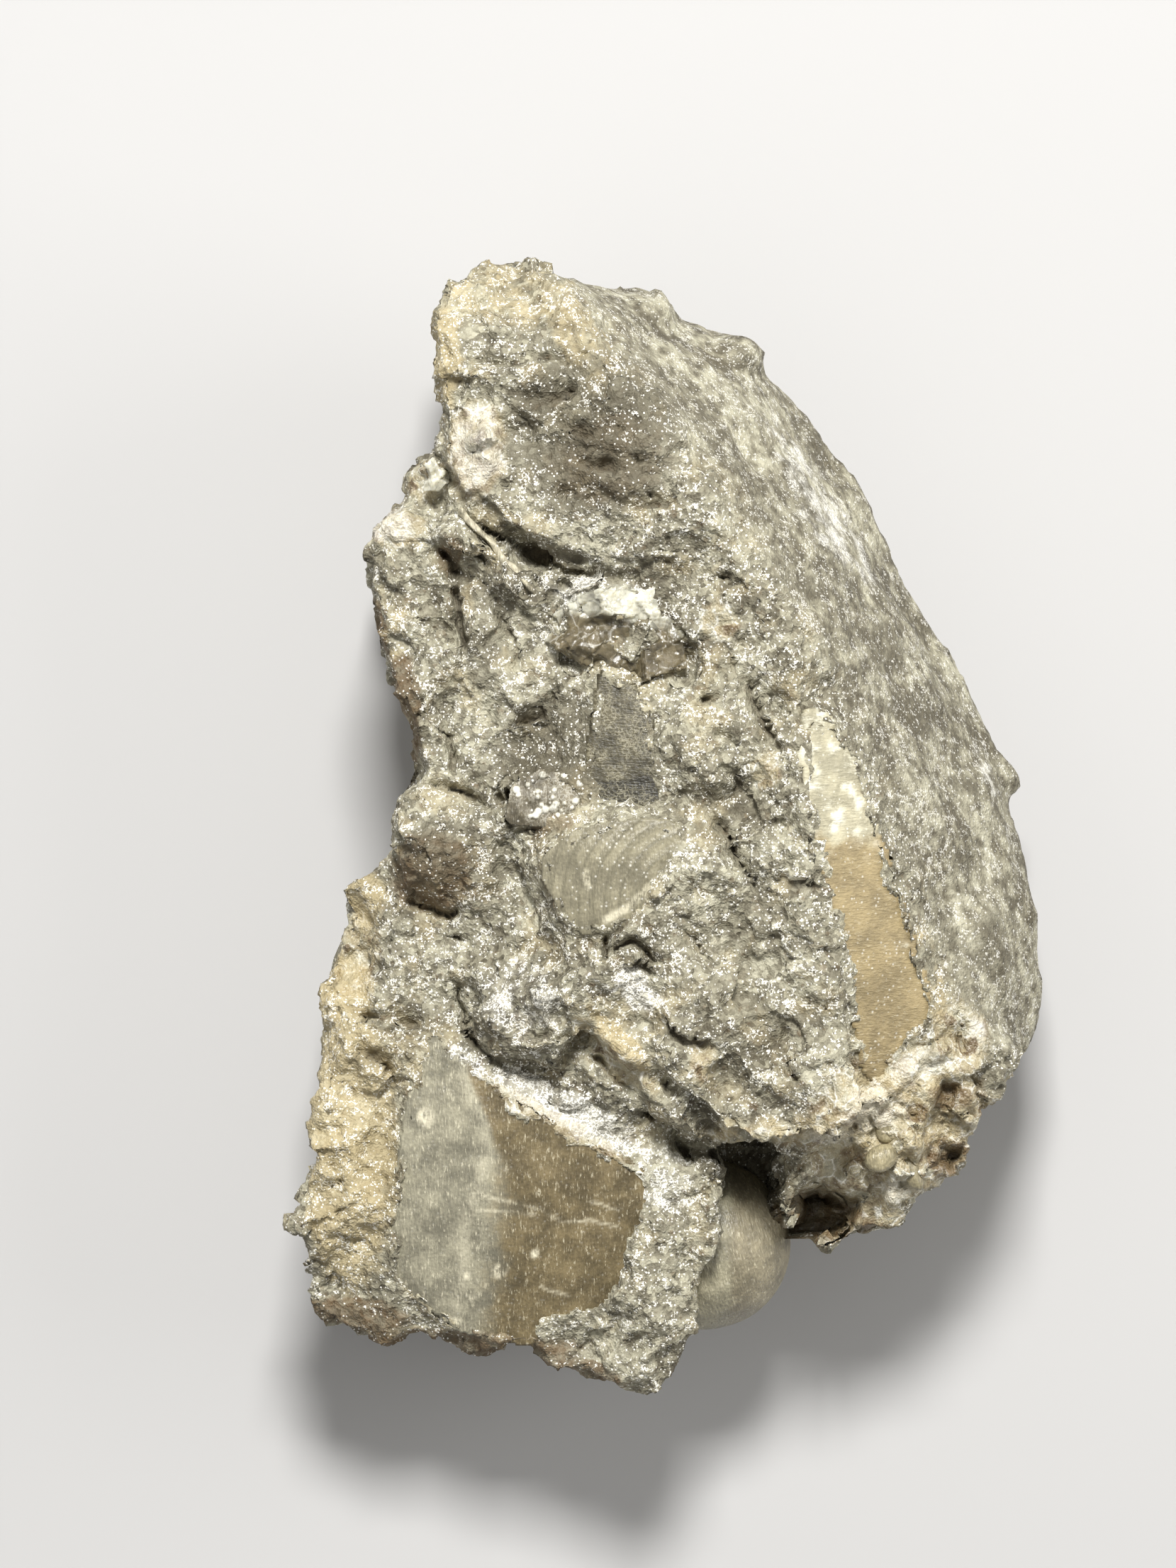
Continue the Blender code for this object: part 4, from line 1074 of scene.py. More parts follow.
STROKES = (
    Stroke(KNOB, 0.6, 0.8, ((-9.3, 12.1), (-8.4, 11.0), (-7.2, 10.2), (-5.9, 9.3))),
    Stroke(KNOB, 0.4, 0.5, ((-7.0, 11.3), (-6.2, 10.6), (-5.4, 9.6))),
    Stroke(CRACK, 0.4, 0.6, ((-6.4, 11.2), (-5.3, 10.8), (-4.4, 10.6), (-3.3, 10.3))),
    Stroke(CRACK, 0.14, 0.7, ((-8.0, 12.1), (-7.0, 11.5), (-6.3, 11.2))),
    Stroke(CRACK, 0.25, 0.9, ((-9.2, 11.1), (-8.8, 10.6), (-8.7, 9.9))),
    Stroke(CRACK, 0.2, 0.9, ((-8.7, 9.9), (-8.55, 9.0), (-8.5, 8.4), (-8.3, 7.2), (-8.5, 6.5), (-9.0, 5.3))),
    Stroke(CRACK, 0.16, 0.7, ((-9.0, 5.3), (-9.2, 4.0), (-8.9, 3.0), (-8.8, 2.0))),
    Stroke(CRACK, 0.22, 0.9, ((-9.9, 1.9), (-9.0, 1.75), (-8.2, 1.5), (-7.4, 0.9))),
    Stroke(CRACK, 0.1, 0.5, ((-6.6, 1.8), (-6.55, 0.7), (-6.7, -0.5))),
    Stroke(CRACK, 0.15, 0.4, ((-6.4, 0.1), (-5.5, -0.1), (-4.6, 0.0), (-3.6, 0.3))),
    Stroke(CRACK, 0.12, 0.6, ((-5.0, -0.9), (-4.5, -0.5), (-3.9, -0.15))),
    Stroke(CRACK, 0.2, 0.6, ((-10.7, -2.6), (-9.9, -3.1), (-9.1, -3.3), (-8.2, -3.1))),
    Stroke(CRACK, 0.12, 0.5, ((-9.0, -4.1), (-8.4, -4.3), (-7.8, -4.7))),
    Stroke(CRACK, 0.16, 0.9, ((-8.7, -5.8), (-8.55, -6.6), (-8.2, -8.1), (-7.5, -8.8))),
    Stroke(
        LEDGE, 0.4, 0.2, ((-3.9, -8.9), (-5.0, -9.4), (-6.2, -9.4), (-7.3, -9.0), (-8.0, -8.3), (-8.3, -6.4))
    ),
    Stroke(CRACK, 0.12, 0.4, ((-7.3, -9.1), (-6.0, -9.6), (-5.1, -9.7), (-4.0, -9.3))),
    Stroke(LEDGE, 0.3, 0.45, ((-3.9, -7.9), (-4.6, -8.1), (-5.8, -8.4))),
    Stroke(CRACK, 0.2, 0.7, ((-3.8, -8.8), (-3.0, -9.0), (-2.0, -9.9), (-1.2, -10.8), (-0.6, -11.5))),
    Stroke(CRACK, 0.2, 0.9, ((-0.1, -12.1), (0.3, -12.6), (0.6, -13.0))),
    Stroke(CRACK, 0.3, 0.8, ((0.8, -12.5), (2.0, -12.9), (3.2, -13.2), (4.6, -12.8))),
    Stroke(CRACK, 0.3, 1.0, ((3.2, -13.2), (3.6, -14.2), (3.9, -15.0))),
    Stroke(CRACK, 0.16, 0.8, ((-2.95, -5.0), (-2.8, -4.4), (-2.5, -3.85), (-1.7, -3.2))),
    Stroke(CRACK, 0.18, 0.55, ((-2.7, -4.8), (-2.2, -4.35), (-1.8, -4.25), (-1.3, -4.5), (-0.8, -5.1))),
    Stroke(LEDGE, 0.3, 0.4, ((-2.1, -5.2), (-1.4, -4.9), (-0.9, -5.4))),
    Stroke(CRACK, 0.13, 0.5, ((1.4, 0.8), (1.9, 0.0), (2.3, -0.9), (2.9, -1.8), (3.2, -2.7))),
    Stroke(LEDGE, 0.35, 0.35, ((1.3, 0.8), (2.0, -0.1), (2.6, -1.4), (3.2, -2.7))),
    Stroke(LEDGE, 0.3, 0.4, ((3.5, -1.5), (4.8, -1.9), (5.6, -2.2))),
    Stroke(LEDGE, 0.3, 0.35, ((2.0, 3.3), (1.6, 3.5), (1.2, 3.6))),
    Stroke(LEDGE, 0.3, 0.4, ((2.6, 6.2), (3.4, 4.4), (4.0, 3.2), (4.4, 2.2))),
    Stroke(LEDGE, 0.35, 0.45, ((-1.5, -7.0), (-0.6, -7.3), (0.3, -7.9), (1.4, -8.2))),
    Stroke(LEDGE, 0.3, 0.4, ((4.4, -7.4), (4.2, -8.4), (4.6, -9.6))),
    Stroke(LEDGE, 0.3, 0.4, ((-0.4, -3.4), (0.6, -3.9), (1.2, -4.9))),
    Stroke(LEDGE, 0.3, 0.4, ((-6.9, 8.8), (-6.2, 7.4), (-6.4, 6.0))),
    Stroke(LEDGE, 0.3, 0.4, ((-4.4, 5.6), (-5.2, 4.4), (-6.6, 4.0))),
    Stroke(LEDGE, 0.35, 0.25, ((0.2, 12.6), (-1.4, 12.3), (-3.2, 12.8), (-4.4, 12.5))),
    Stroke(LEDGE, 0.35, 0.3, ((-3.6, 17.4), (-5.0, 16.4), (-6.2, 16.6))),
    Stroke(LEDGE, 0.3, 0.3, ((-3.9, 17.7), (-5.2, 18.3), (-6.8, 17.9), (-8.6, 18.2))),
    Stroke(LEDGE, 0.3, 0.25, ((-4.4, 19.8), (-5.8, 19.4), (-7.4, 19.7))),
    Stroke(LEDGE, 0.3, 0.35, ((-1.9, 15.6), (-3.4, 15.2), (-5.0, 15.7))),
    Stroke(LEDGE, 0.3, 0.3, ((-0.9, 14.2), (-2.6, 13.9), (-4.3, 14.3))),
    Stroke(CRACK, 0.12, 0.35, ((-7.0, 16.8), (-5.9, 16.0), (-5.5, 14.9))),
    Stroke(PIT, 0.45, 0.22, ((-3.6, 15.0), (-3.0, 14.8))),
    Stroke(PIT, 0.4, 0.22, ((-3.1, 14.3), (-2.5, 14.1))),
    Stroke(PIT, 0.35, 0.4, ((-4.6, 13.1), (-4.3, 13.0))),
    Stroke(PIT, 0.3, 0.4, ((-6.7, 13.5), (-6.6, 13.3))),
    Stroke(PIT, 0.35, 0.4, ((-4.4, 17.1), (-4.0, 17.0))),
    Stroke(PIT, 0.3, 0.4, ((-1.2, 13.1), (-1.0, 13.0))),
    Stroke(CRACK, 0.12, 0.5, ((10.9, -6.8), (11.1, -8.3), (11.4, -9.1))),
    Stroke(LEDGE, 0.3, 0.6, ((-9.9, -7.9), (-11.0, -7.5), (-12.6, -7.2))),
    Stroke(LEDGE, 0.3, 0.5, ((-11.2, -9.7), (-12.0, -9.1), (-13.0, -8.6))),
    Stroke(CRACK, 0.2, 0.5, ((-13.6, -13.0), (-13.3, -13.5), (-13.4, -14.1))),
    Stroke(PIT, 0.4, 0.55, ((-0.7, 5.0), (-0.5, 4.8))),
    Stroke(PIT, 0.3, 0.5, ((0.9, 5.0), (1.7, 5.35))),
    Stroke(PIT, 0.4, 0.5, ((1.8, 10.1), (1.9, 9.8))),
    Stroke(PIT, 0.3, 0.4, ((-0.1, 8.4), (0.1, 8.6))),
    Stroke(PIT, 0.3, 0.4, ((2.3, 7.5), (2.5, 7.3))),
    Stroke(PIT, 0.25, 0.5, ((-0.5, -9.9), (-0.4, -10.0))),
    Stroke(PIT, 0.3, 0.4, ((7.9, -1.5), (8.0, -1.8))),
    Stroke(PIT, 0.4, 0.5, ((10.3, -2.3), (10.5, -2.7))),
    Stroke(PIT, 0.35, 0.4, ((9.1, -2.5), (9.3, -2.6))),
    Stroke(PIT, 0.8, 0.7, ((10.1, -10.2), (11.0, -10.6))),
    Stroke(PIT, 0.35, 0.4, ((9.2, -10.9), (9.4, -11.1))),
    Stroke(PIT, 0.8, 0.8, ((10.2, -12.7), (11.2, -13.1))),
    Stroke(PIT, 1.9, 2.0, ((4.7, -15.2), (5.8, -15.3), (7.2, -15.7))),
    Stroke(KNOB, 0.9, 0.6, ((-7.9, 15.6), (-7.5, 14.9))),
    Stroke(KNOB, 0.8, 0.5, ((-7.9, 13.9), (-7.3, 13.7))),
    Stroke(KNOB, 0.5, 0.4, ((-9.9, 14.0), (-9.8, 14.3))),
    Stroke(KNOB, 0.75, 0.6, ((8.3, -9.4), (8.9, -9.9))),
    Stroke(KNOB, 0.65, 0.5, ((9.9, -8.4), (10.3, -8.9))),
    Stroke(KNOB, 0.7, 0.6, ((12.3, -9.4), (12.6, -10.0))),
    Stroke(KNOB, 0.8, 0.6, ((7.2, -10.4), (7.8, -11.0))),
    Stroke(KNOB, 0.6, 0.5, ((6.2, -11.5), (6.9, -11.7))),
    Stroke(KNOB, 0.6, 0.5, ((9.4, -12.0), (9.0, -12.4))),
    Stroke(KNOB, 0.8, 0.6, ((8.2, -14.2), (8.9, -13.9))),
    Stroke(KNOB, 0.6, 0.6, ((7.0, -13.9), (6.4, -13.4))),
    Stroke(KNOB, 0.55, 0.5, ((5.4, -13.6), (4.8, -13.3))),
    Stroke(KNOB, 0.5, 0.5, ((11.4, -11.7), (11.8, -11.4))),
    Stroke(KNOB, 0.45, 0.4, ((9.9, -13.7), (10.1, -13.3))),
    Stroke(KNOB, 0.7, 0.35, ((1.0, 1.8), (1.8, 2.4))),
    Stroke(KNOB, 0.8, 0.3, ((2.8, 0.6), (3.6, 0.0))),
    Stroke(KNOB, 0.8, 0.35, ((0.2, -5.6), (1.0, -6.2))),
    Stroke(KNOB, 0.7, 0.3, ((4.2, -4.6), (4.8, -5.6))),
    Stroke(KNOB, 0.8, 0.35, ((-5.6, -6.0), (-6.4, -6.6))),
)

CREAM, UMBER, DARK, BRIGHT_AND_HIGHLIGHT, CRYSTAL = Tone.CREAM, Tone.UMBER, Tone.DARK, Tone.BRIGHT_AND_HIGHLIGHT, Tone.CRYSTAL

SPOTS = (
    Spot(CREAM, (-7.0, 21.2), (3.6, 1.8), -10, 0.55),
    Spot(CREAM, (-9.2, 18.6), (0.9, 2.4), 0, 0.8),
    Spot(CREAM, (-3.9, 19.2), (1.2, 2.4), 32, 0.6),
    Spot(CREAM, (-12.9, -12.4), (2.2, 6.6), 0, 0.85),
    Spot(CREAM, (-13.3, -6.4), (1.5, 2.0), 0, 0.8),
    Spot(CREAM, (-12.6, -2.6), (1.3, 1.5), 0, 0.8),
    Spot(CREAM, (-10.6, -8.6), (2.2, 1.0), -20, 0.5),
    Spot(CREAM, (-2.3, -8.1), (1.9, 0.4), -42, 0.9),
    Spot(CREAM, (-11.2, 8.5), (0.9, 3.0), 0, 0.4),
    Spot(CREAM, (3.4, -11.6), (3.6, 0.7), 0, 0.5),
    Spot(CREAM, (8.4, -11.2), (3.2, 2.4), 0, 0.55),
    Spot(CREAM, (9.8, -5.4), (0.6, 3.0), 14, 0.45),
    Spot(UMBER, (-2.6, 14.4), (3.0, 2.0), 10, 0.6),
    Spot(UMBER, (-5.4, 16.8), (1.6, 0.8), 0, 0.4),
    Spot(UMBER, (-10.8, 4.4), (0.8, 2.4), 0, 1.2),
    Spot(UMBER, (-11.8, 8.2), (0.4, 1.6), 12, 0.9),
    Spot(UMBER, (-9.6, -1.6), (1.8, 1.8), 0, 0.8),
    Spot(UMBER, (-5.2, 0.3), (1.4, 0.5), 8, 0.6),
    Spot(UMBER, (6.0, -15.8), (2.6, 1.4), -20, 1.0),
    Spot(UMBER, (10.7, -12.9), (1.0, 0.8), 0, 1.0),
    Spot(UMBER, (10.7, -10.4), (1.0, 0.6), 0, 0.9),
    Spot(UMBER, (9.3, -11.0), (0.5, 0.4), 0, 0.9),
    Spot(UMBER, (6.9, -12.8), (0.7, 0.5), 0, 0.7),
    Spot(UMBER, (-13.0, -19.3), (2.4, 0.9), 0, 1.2),
    Spot(UMBER, (-9.0, -20.4), (5.0, 0.7), 0, 1.4),
    Spot(UMBER, (-4.2, -21.2), (2.2, 0.5), -15, 1.4),
    Spot(UMBER, (-8.9, 10.7), (0.6, 0.8), 0, 0.8),
    # Dark spots: the rock's own darker patches on the crown, the left lump and the flank, and painted shade
    # under the upper block, in the cavity at its lower left, below the ledges by the dome and in the bay.
    Spot(DARK, (-4.9, 10.85), (1.6, 0.5), -14, 0.8),
    Spot(DARK, (-8.7, 10.3), (0.4, 0.9), 10, 0.8),
    Spot(DARK, (2.4, -13.1), (1.9, 0.7), -8, 1.0),
    Spot(DARK, (3.8, -14.3), (0.8, 1.0), 0, 0.9),
    Spot(DARK, (-3.4, 15.4), (3.8, 3.6), 20, 0.9),
    Spot(DARK, (-4.6, 3.2), (3.0, 2.6), 0, 0.75),
    Spot(DARK, (-7.6, 6.8), (1.0, 1.6), 0, 0.6),
    Spot(DARK, (-0.4, -5.0), (3.0, 2.4), 0, 0.45),
    Spot(DARK, (-9.4, -0.8), (1.9, 1.9), 0, 0.55),
    Spot(DARK, (-7.0, 9.0), (1.3, 1.6), 0, 0.5),
    Spot(DARK, (5.3, 9.7), (0.9, 0.8), 0, 0.8),
    Spot(DARK, (8.2, 7.2), (0.8, 1.4), 30, 0.8),
    Spot(DARK, (9.5, 4.6), (0.9, 1.2), 30, 0.8),
    Spot(DARK, (12.4, -4.4), (1.0, 1.6), 0, 0.7),
    Spot(DARK, (2.3, 16.6), (0.8, 1.2), 30, 0.45),
    Spot(DARK, (-12.1, -9.0), (0.9, 0.5), -30, 0.6),
    Spot(DARK, (-5.5, 3.6), (1.6, 0.9), 0, 0.4),
    Spot(DARK, (3.2, -6.6), (1.6, 1.4), 0, 0.35),
    # Bright spots: white crystalline patches, and painted highlights on lit edges and in the bright band
    # along the flank's right side.
    Spot(BRIGHT_AND_HIGHLIGHT, (-7.8, 14.9), (1.2, 2.0), 0, 0.6),
    Spot(BRIGHT_AND_HIGHLIGHT, (-11.2, 12.0), (1.1, 0.8), 0, 0.7),
    Spot(BRIGHT_AND_HIGHLIGHT, (-4.4, -10.9), (3.9, 0.8), -28, 0.7),
    Spot(BRIGHT_AND_HIGHLIGHT, (-0.6, -13.6), (1.6, 1.6), 0, 0.5),
    Spot(BRIGHT_AND_HIGHLIGHT, (-1.8, -5.7), (0.8, 0.6), 0, 0.9),
    Spot(BRIGHT_AND_HIGHLIGHT, (-8.6, -9.4), (1.2, 1.2), 0, 0.5),
    Spot(BRIGHT_AND_HIGHLIGHT, (9.8, 8.8), (0.8, 3.8), 30, 0.8),
    Spot(BRIGHT_AND_HIGHLIGHT, (6.6, 14.2), (0.7, 3.0), 32, 0.5),
    Spot(BRIGHT_AND_HIGHLIGHT, (12.8, 2.2), (0.7, 2.8), 25, 0.75),
    Spot(BRIGHT_AND_HIGHLIGHT, (11.8, -8.0), (0.5, 1.2), 15, 0.45),
    Spot(CRYSTAL, (8.6, -11.6), (4.0, 3.4), 20, 1.0),
    Spot(CRYSTAL, (6.6, -15.0), (2.4, 1.4), 0, 1.0),
    Spot(CRYSTAL, (11.0, -8.2), (1.4, 1.6), 0, 0.9),
    Spot(CRYSTAL, (-7.8, 14.9), (1.3, 2.1), 0, 0.9),
    Spot(CRYSTAL, (-9.8, 13.7), (0.9, 1.0), 0, 0.9),
    Spot(CRYSTAL, (-11.0, 11.9), (1.2, 0.9), 0, 0.8),
    Spot(CRYSTAL, (1.6, 8.2), (0.9, 0.9), 0, 0.8),
    Spot(CRYSTAL, (-12.7, -4.6), (1.2, 2.4), 0, 0.7),
    Spot(CRYSTAL, (-2.6, -8.7), (2.3, 0.7), -42, 1.0),
    Spot(CRYSTAL, (1.0, -8.9), (0.6, 0.8), 0, 0.8),
    Spot(CRYSTAL, (3.4, 2.4), (0.6, 0.8), 0, 0.8),
    Spot(CRYSTAL, (3.6, -11.8), (3.0, 0.6), 0, 0.7),
    # More bright spots on the knobs, the round lump and the flank: partly white crystal, partly painted
    # highlight.
    Spot(BRIGHT_AND_HIGHLIGHT, (7.6, -10.9), (1.6, 1.2), 0, 0.6),
    Spot(BRIGHT_AND_HIGHLIGHT, (6.0, -11.8), (1.2, 0.6), 0, 0.5),
    Spot(BRIGHT_AND_HIGHLIGHT, (9.3, -9.2), (1.2, 0.8), 20, 0.6),
    Spot(BRIGHT_AND_HIGHLIGHT, (8.7, -14.1), (1.0, 0.6), 0, 0.5),
    Spot(BRIGHT_AND_HIGHLIGHT, (-6.2, -6.6), (2.0, 2.0), 0, 0.48),
    Spot(BRIGHT_AND_HIGHLIGHT, (6.4, 13.2), (2.0, 5.0), 32, 0.5),
    Spot(BRIGHT_AND_HIGHLIGHT, (-5.6, 6.8), (1.4, 1.6), 0, 0.35),
    Spot(BRIGHT_AND_HIGHLIGHT, (-3.4, 9.2), (2.4, 0.9), 0, 0.55),
    Spot(CRYSTAL, (-5.0, -11.3), (3.9, 0.4), -28, 1.0),
    Spot(BRIGHT_AND_HIGHLIGHT, (-1.4, -6.4), (0.8, 0.6), 0, 0.8),
)

RIDGE = (
    (-5.3, 21.9), (-3.7, 20.0), (-2.2, 18.0), (-0.6, 16.0), (1.3, 13.2), (3.2, 10.3), (4.8, 7.6), (5.8, 5.0),
    (7.3, 2.0), (8.0, 0.0), (8.8, -2.0), (9.5, -4.5), (10.2, -6.8), (11.2, -9.2),
)


@dataclass(frozen=True)
class Wedge:
    """A rounded wedge of rock that closes part of a hollow: its middle, half sizes and turn in degrees."""

    centre: Place
    sizes: Place
    turn: float = 0.0

    def build(self) -> bpy.types.Object:
        """Model the wedge.

        Returns:
            The wedge.
        """
        deselect()
        bpy.ops.mesh.primitive_ico_sphere_add(subdivisions=4, radius=MM)
        wedge = bpy.context.object
        shape_ball(wedge, self.centre, self.sizes, self.turn)
        return wedge


WEDGES = (
    Wedge((-2.4, -9.6, 11.9), (3.0, 1.6, 2.2), -42.0),
    Wedge((-2.2, -8.2, 14.2), (2.3, 0.75, 1.6), -42.0),
    Wedge((-0.3, -10.6, 13.5), (2.0, 0.8, 1.6), -50.0),
    Wedge((-7.3, 11.0, 13.9), (2.7, 0.8, 1.6), -43.0),
    Wedge((-7.6, 12.3, 14.0), (2.0, 0.9, 1.7), -35.0),
    Wedge((-9.3, 11.5, 13.6), (0.8, 0.7, 1.3)),
    Wedge((-8.8, 10.8, 13.2), (1.0, 1.0, 1.3)),
    Wedge((-5.4, 9.1, 14.2), (1.1, 0.9, 1.2)),
    Wedge((-5.4, 11.6, 14.4), (1.4, 0.6, 1.5), -20.0),
    Wedge((-3.6, 11.2, 14.8), (2.6, 0.9, 1.6), -6.0),
    Wedge((-1.0, 10.9, 15.4), (2.6, 1.1, 1.6), 3.0),
    Wedge((-0.9, 9.9, 15.2), (1.2, 0.5, 1.1)),
    Wedge((0.15, 8.35, 14.9), (0.9, 1.1, 1.4)),
    Wedge((10.6, -12.8, 10.9), (1.2, 0.9, 1.0), 20.0),
    Wedge((10.6, -10.3, 12.2), (1.2, 0.9, 0.9), -15.0),
    Wedge((-1.3, 20.4, 9.0), (1.4, 1.2, 2.6)),
    Wedge((2.4, 18.7, 7.5), (1.2, 1.2, 2.6), -20.0),
)


@dataclass
class LimestoneChunk(Piece):
    """The whole chunk of rock with its ledges, cracks, pits and broken grain."""

    node: str = "limestone_matrix"
    slot: str = "limestone"
    filled: tuple[tuple[str, float], ...] = (
        ("shell_plate", 0.34), ("buff_shell", 0.34), ("ribbed_shell", 0.34), ("grey_shell", 0.34),
        ("beaded_shell", 0.34), ("calcite_crystals", 0.75),
    )
    swell: float = 0.26
    voxel: float = 0.15
    smoothing: int = 4
    weathering: int = 10
    facets: tuple[Point, ...] = ((2.4, 0.5), (1.1, 0.32), (0.5, 0.14))
    lumps: tuple[Point, ...] = ((3.0, 0.3), (0.45, 0.07), (0.22, 0.05))
    hidden_level: float = 9.0
    thin_share: float = 0.44
    worn_share: float = 0.42
    socket_of: str = "domed_shell"
    socket_reach: float = 1.1
    socket_gap: float = 0.15
    nodule_facets: tuple[Point, ...] = ((1.8, 0.65), (0.9, 0.4), (0.45, 0.05))
    nodule_corner: Point = (3.6, -8.6)
    face_levels: Point = (7.5, 9.0)
    tone_levels: Point = (5.0, 11.0)
    floor_level: float = 0.25
    wander: float = 0.17
    fine_wander: float = 0.1
    ragged: float = 0.22
    lip: float = 0.16
    lip_reach: float = 0.75
    bed_gap: float = 0.12
    bed_reach: float = 1.8
    beds: tuple[Bed, ...] = ()
    finish: SugaryLimestone = field(default_factory=SugaryLimestone)

    def build(self) -> bpy.types.Object:
        """Model the rock.

        Returns:
            The rock.
        """
        rock = merged_copy(self.node, "limestone_chunk")
        fillers = [self._filler(node, sink) for node, sink in self.filled]
        fillers += [wedge.build() for wedge in WEDGES]
        only(rock)
        for filler in fillers:
            filler.select_set(True)
        bpy.ops.object.join()
        skin = rock.modifiers.new("skin", "REMESH")
        skin.mode = "VOXEL"
        skin.voxel_size = self.voxel * MM
        apply_all(rock)
        self._thin_out(rock)
        soften = rock.modifiers.new("soften", "SMOOTH")
        soften.iterations = self.smoothing
        flank = rock.vertex_groups.new(name="flank")
        flank.add(np.nonzero(self._worn(points_of(rock)) > 0.5)[0].tolist(), 1.0, "REPLACE")
        weather = rock.modifiers.new("weather", "SMOOTH")
        weather.iterations = self.weathering
        weather.vertex_group = flank.name
        apply_all(rock)
        rock.vertex_groups.clear()
        self._sculpt(rock)
        return rock

    def _thin_out(self, rock: bpy.types.Object) -> None:
        """Make the skin coarser where it faces down, lies low or is worn, and leave the face fine.

        Args:
            rock: the rock, with a skin of even grain.
        """
        points, normals = points_of(rock), normals_of(rock)
        hidden = (points[:, 2] < self.hidden_level) | (normals[:, 2] < -0.2) | (self._worn(points) > 0.5)
        group = rock.vertex_groups.new(name="hidden")
        group.add(np.nonzero(hidden)[0].tolist(), 1.0, "REPLACE")
        thin = rock.modifiers.new("thin", "DECIMATE")
        thin.ratio = self.thin_share
        thin.vertex_group = group.name
        apply_all(rock)
        rock.vertex_groups.clear()

    def _filler(self, node: str, sink: float) -> bpy.types.Object:
        """Copy a piece's solid, swell it and sink it, so that it closes the gap round the piece.

        Args:
            node: the solid's name.
            sink: how far the copy is lowered.

        Returns:
            The copy.
        """
        filler = merged_copy(node, node + "_filler")
        swell = filler.modifiers.new("swell", "DISPLACE")
        swell.strength = self.swell * MM
        swell.mid_level = 0.0
        apply_all(filler)
        points = points_of(filler)
        points[:, 2] -= sink
        set_points(filler, points)
        return filler

    def _sculpt(self, rock: bpy.types.Object) -> None:
        """Roughen the skin, work the strokes into it, open the beds and store the tones.

        Args:
            rock: the rock, with its final skin.
        """
        points, normals = points_of(rock), normals_of(rock)
        upward = smooth_step(normals[:, 2], 0.1, 0.5) * smooth_step(points[:, 2], *self.face_levels)
        shell = self._under_shell(points)
        push = self._grain(points, shell)
        moved = points + normals * push[:, None]
        flat = moved[:, :2] + self.wander * noise_pair(points, 0.8, (11.0, 23.0))
        flat += self.fine_wander * noise_pair(points, 0.3, (13.0, 29.0))
        chipped = np.clip(1.0 + 1.3 * stone_noise(points, 1.3, 17.0), 0.3, 1.7)
        raised = sum(stroke.shift(flat) for stroke in STROKES) * upward * chipped
        moved[:, 2] += raised * (1.0 - shell)
        self._open_beds(moved, flat + self.ragged * noise_pair(points, 0.55, (43.0, 47.0)), upward)
        self._close_socket(moved, normals)
        floor = points[:, 2] < self.floor_level
        moved[floor] = points[floor]
        moved[:, 2] = np.maximum(moved[:, 2], 0.0)
        set_points(rock, moved)
        store(rock, Tone.WORN.value, self._worn(points))
        # Painted shade: stored stronger where strokes and broken grain cut the surface deeper.
        store(rock, Tone.HOLLOW.value, -(raised + push) / 0.9 - 0.25)
        shown = smooth_step(normals[:, 2], -0.5, 0.1) * smooth_step(points[:, 2], *self.tone_levels)
        # Stains and tones; painted shade is among the dark spots and painted highlights among the bright
        # ones.
        for tone in (CREAM, UMBER, DARK, BRIGHT_AND_HIGHLIGHT, CRYSTAL):
            spots = [spot.amount(flat) for spot in SPOTS if spot.tone is tone]
            store(rock, tone.value, np.max(spots, axis=0) * shown)

    def _grain(self, points: np.ndarray, shell: np.ndarray) -> np.ndarray:
        """Height of the broken grain.

        Args:
            points: the skin's points.
            shell: how far each of them lies under a shell piece.

        Returns:
            How far each point is pushed out; it is less on the worn flank and hardly any under shell.
        """
        east, north = self.nodule_corner
        nodules = (points[:, 1] < north) & (points[:, 0] > east)
        push = layered(broken_facets, points, self.facets, 3.0)
        push[nodules] = layered(broken_facets, points[nodules], self.nodule_facets, 3.0)
        push += layered(stone_noise, points, self.lumps, 5.0)
        rough = 1.0 - self._worn(points) * (1.0 - self.worn_share)
        return push * rough * (1.0 - 0.85 * shell)

    def _worn(self, points: np.ndarray) -> np.ndarray:
        """How far each point belongs to the weathered flank, from 0 to 1.

        Args:
            points: x, y and z of each point, one row each.

        Returns:
            The share of each point.
        """
        away, _, side = path_distance(points[:, :2], RIDGE)
        worn = np.where(side > 0, smooth_step(away, 0.0, 1.2), 0.0)
        return np.where(points[:, 1] < self.nodule_corner[1], 0.0, worn)

    def _under_shell(self, points: np.ndarray) -> np.ndarray:
        """How far each point lies within one of the beds, from 0 outside to 1 inside.

        Args:
            points: x, y and z of each point, one row each.

        Returns:
            The share of each point.
        """
        share = np.zeros(len(points))
        for bed in self.beds:
            away = signed_distance(points[:, :2], bed.outline)
            near = np.abs(points[:, 2] - bed.height(points)) < 1.6
            share = np.maximum(share, smooth_step(away, 0.05, -0.25) * near)
        return share

    def _close_socket(self, moved: np.ndarray, normals: np.ndarray) -> None:
        """Draw the walls of the dome's socket in to the dome, so that no gap shows round it.

        Args:
            moved: the points, changed in place.
            normals: the normals at the points.
        """
        low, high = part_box(self.socket_of)
        centre = np.array((low + high) / 2) / MM
        radius = (high.x - low.x) / 2 / MM
        rel = moved - centre
        away = np.linalg.norm(rel, axis=1)
        facing = -(rel * normals).sum(axis=1) / away
        wall = (away < radius + self.socket_reach) & (facing > 0.1)
        moved[wall] = centre + rel[wall] * ((radius - self.socket_gap) / away[wall])[:, None]

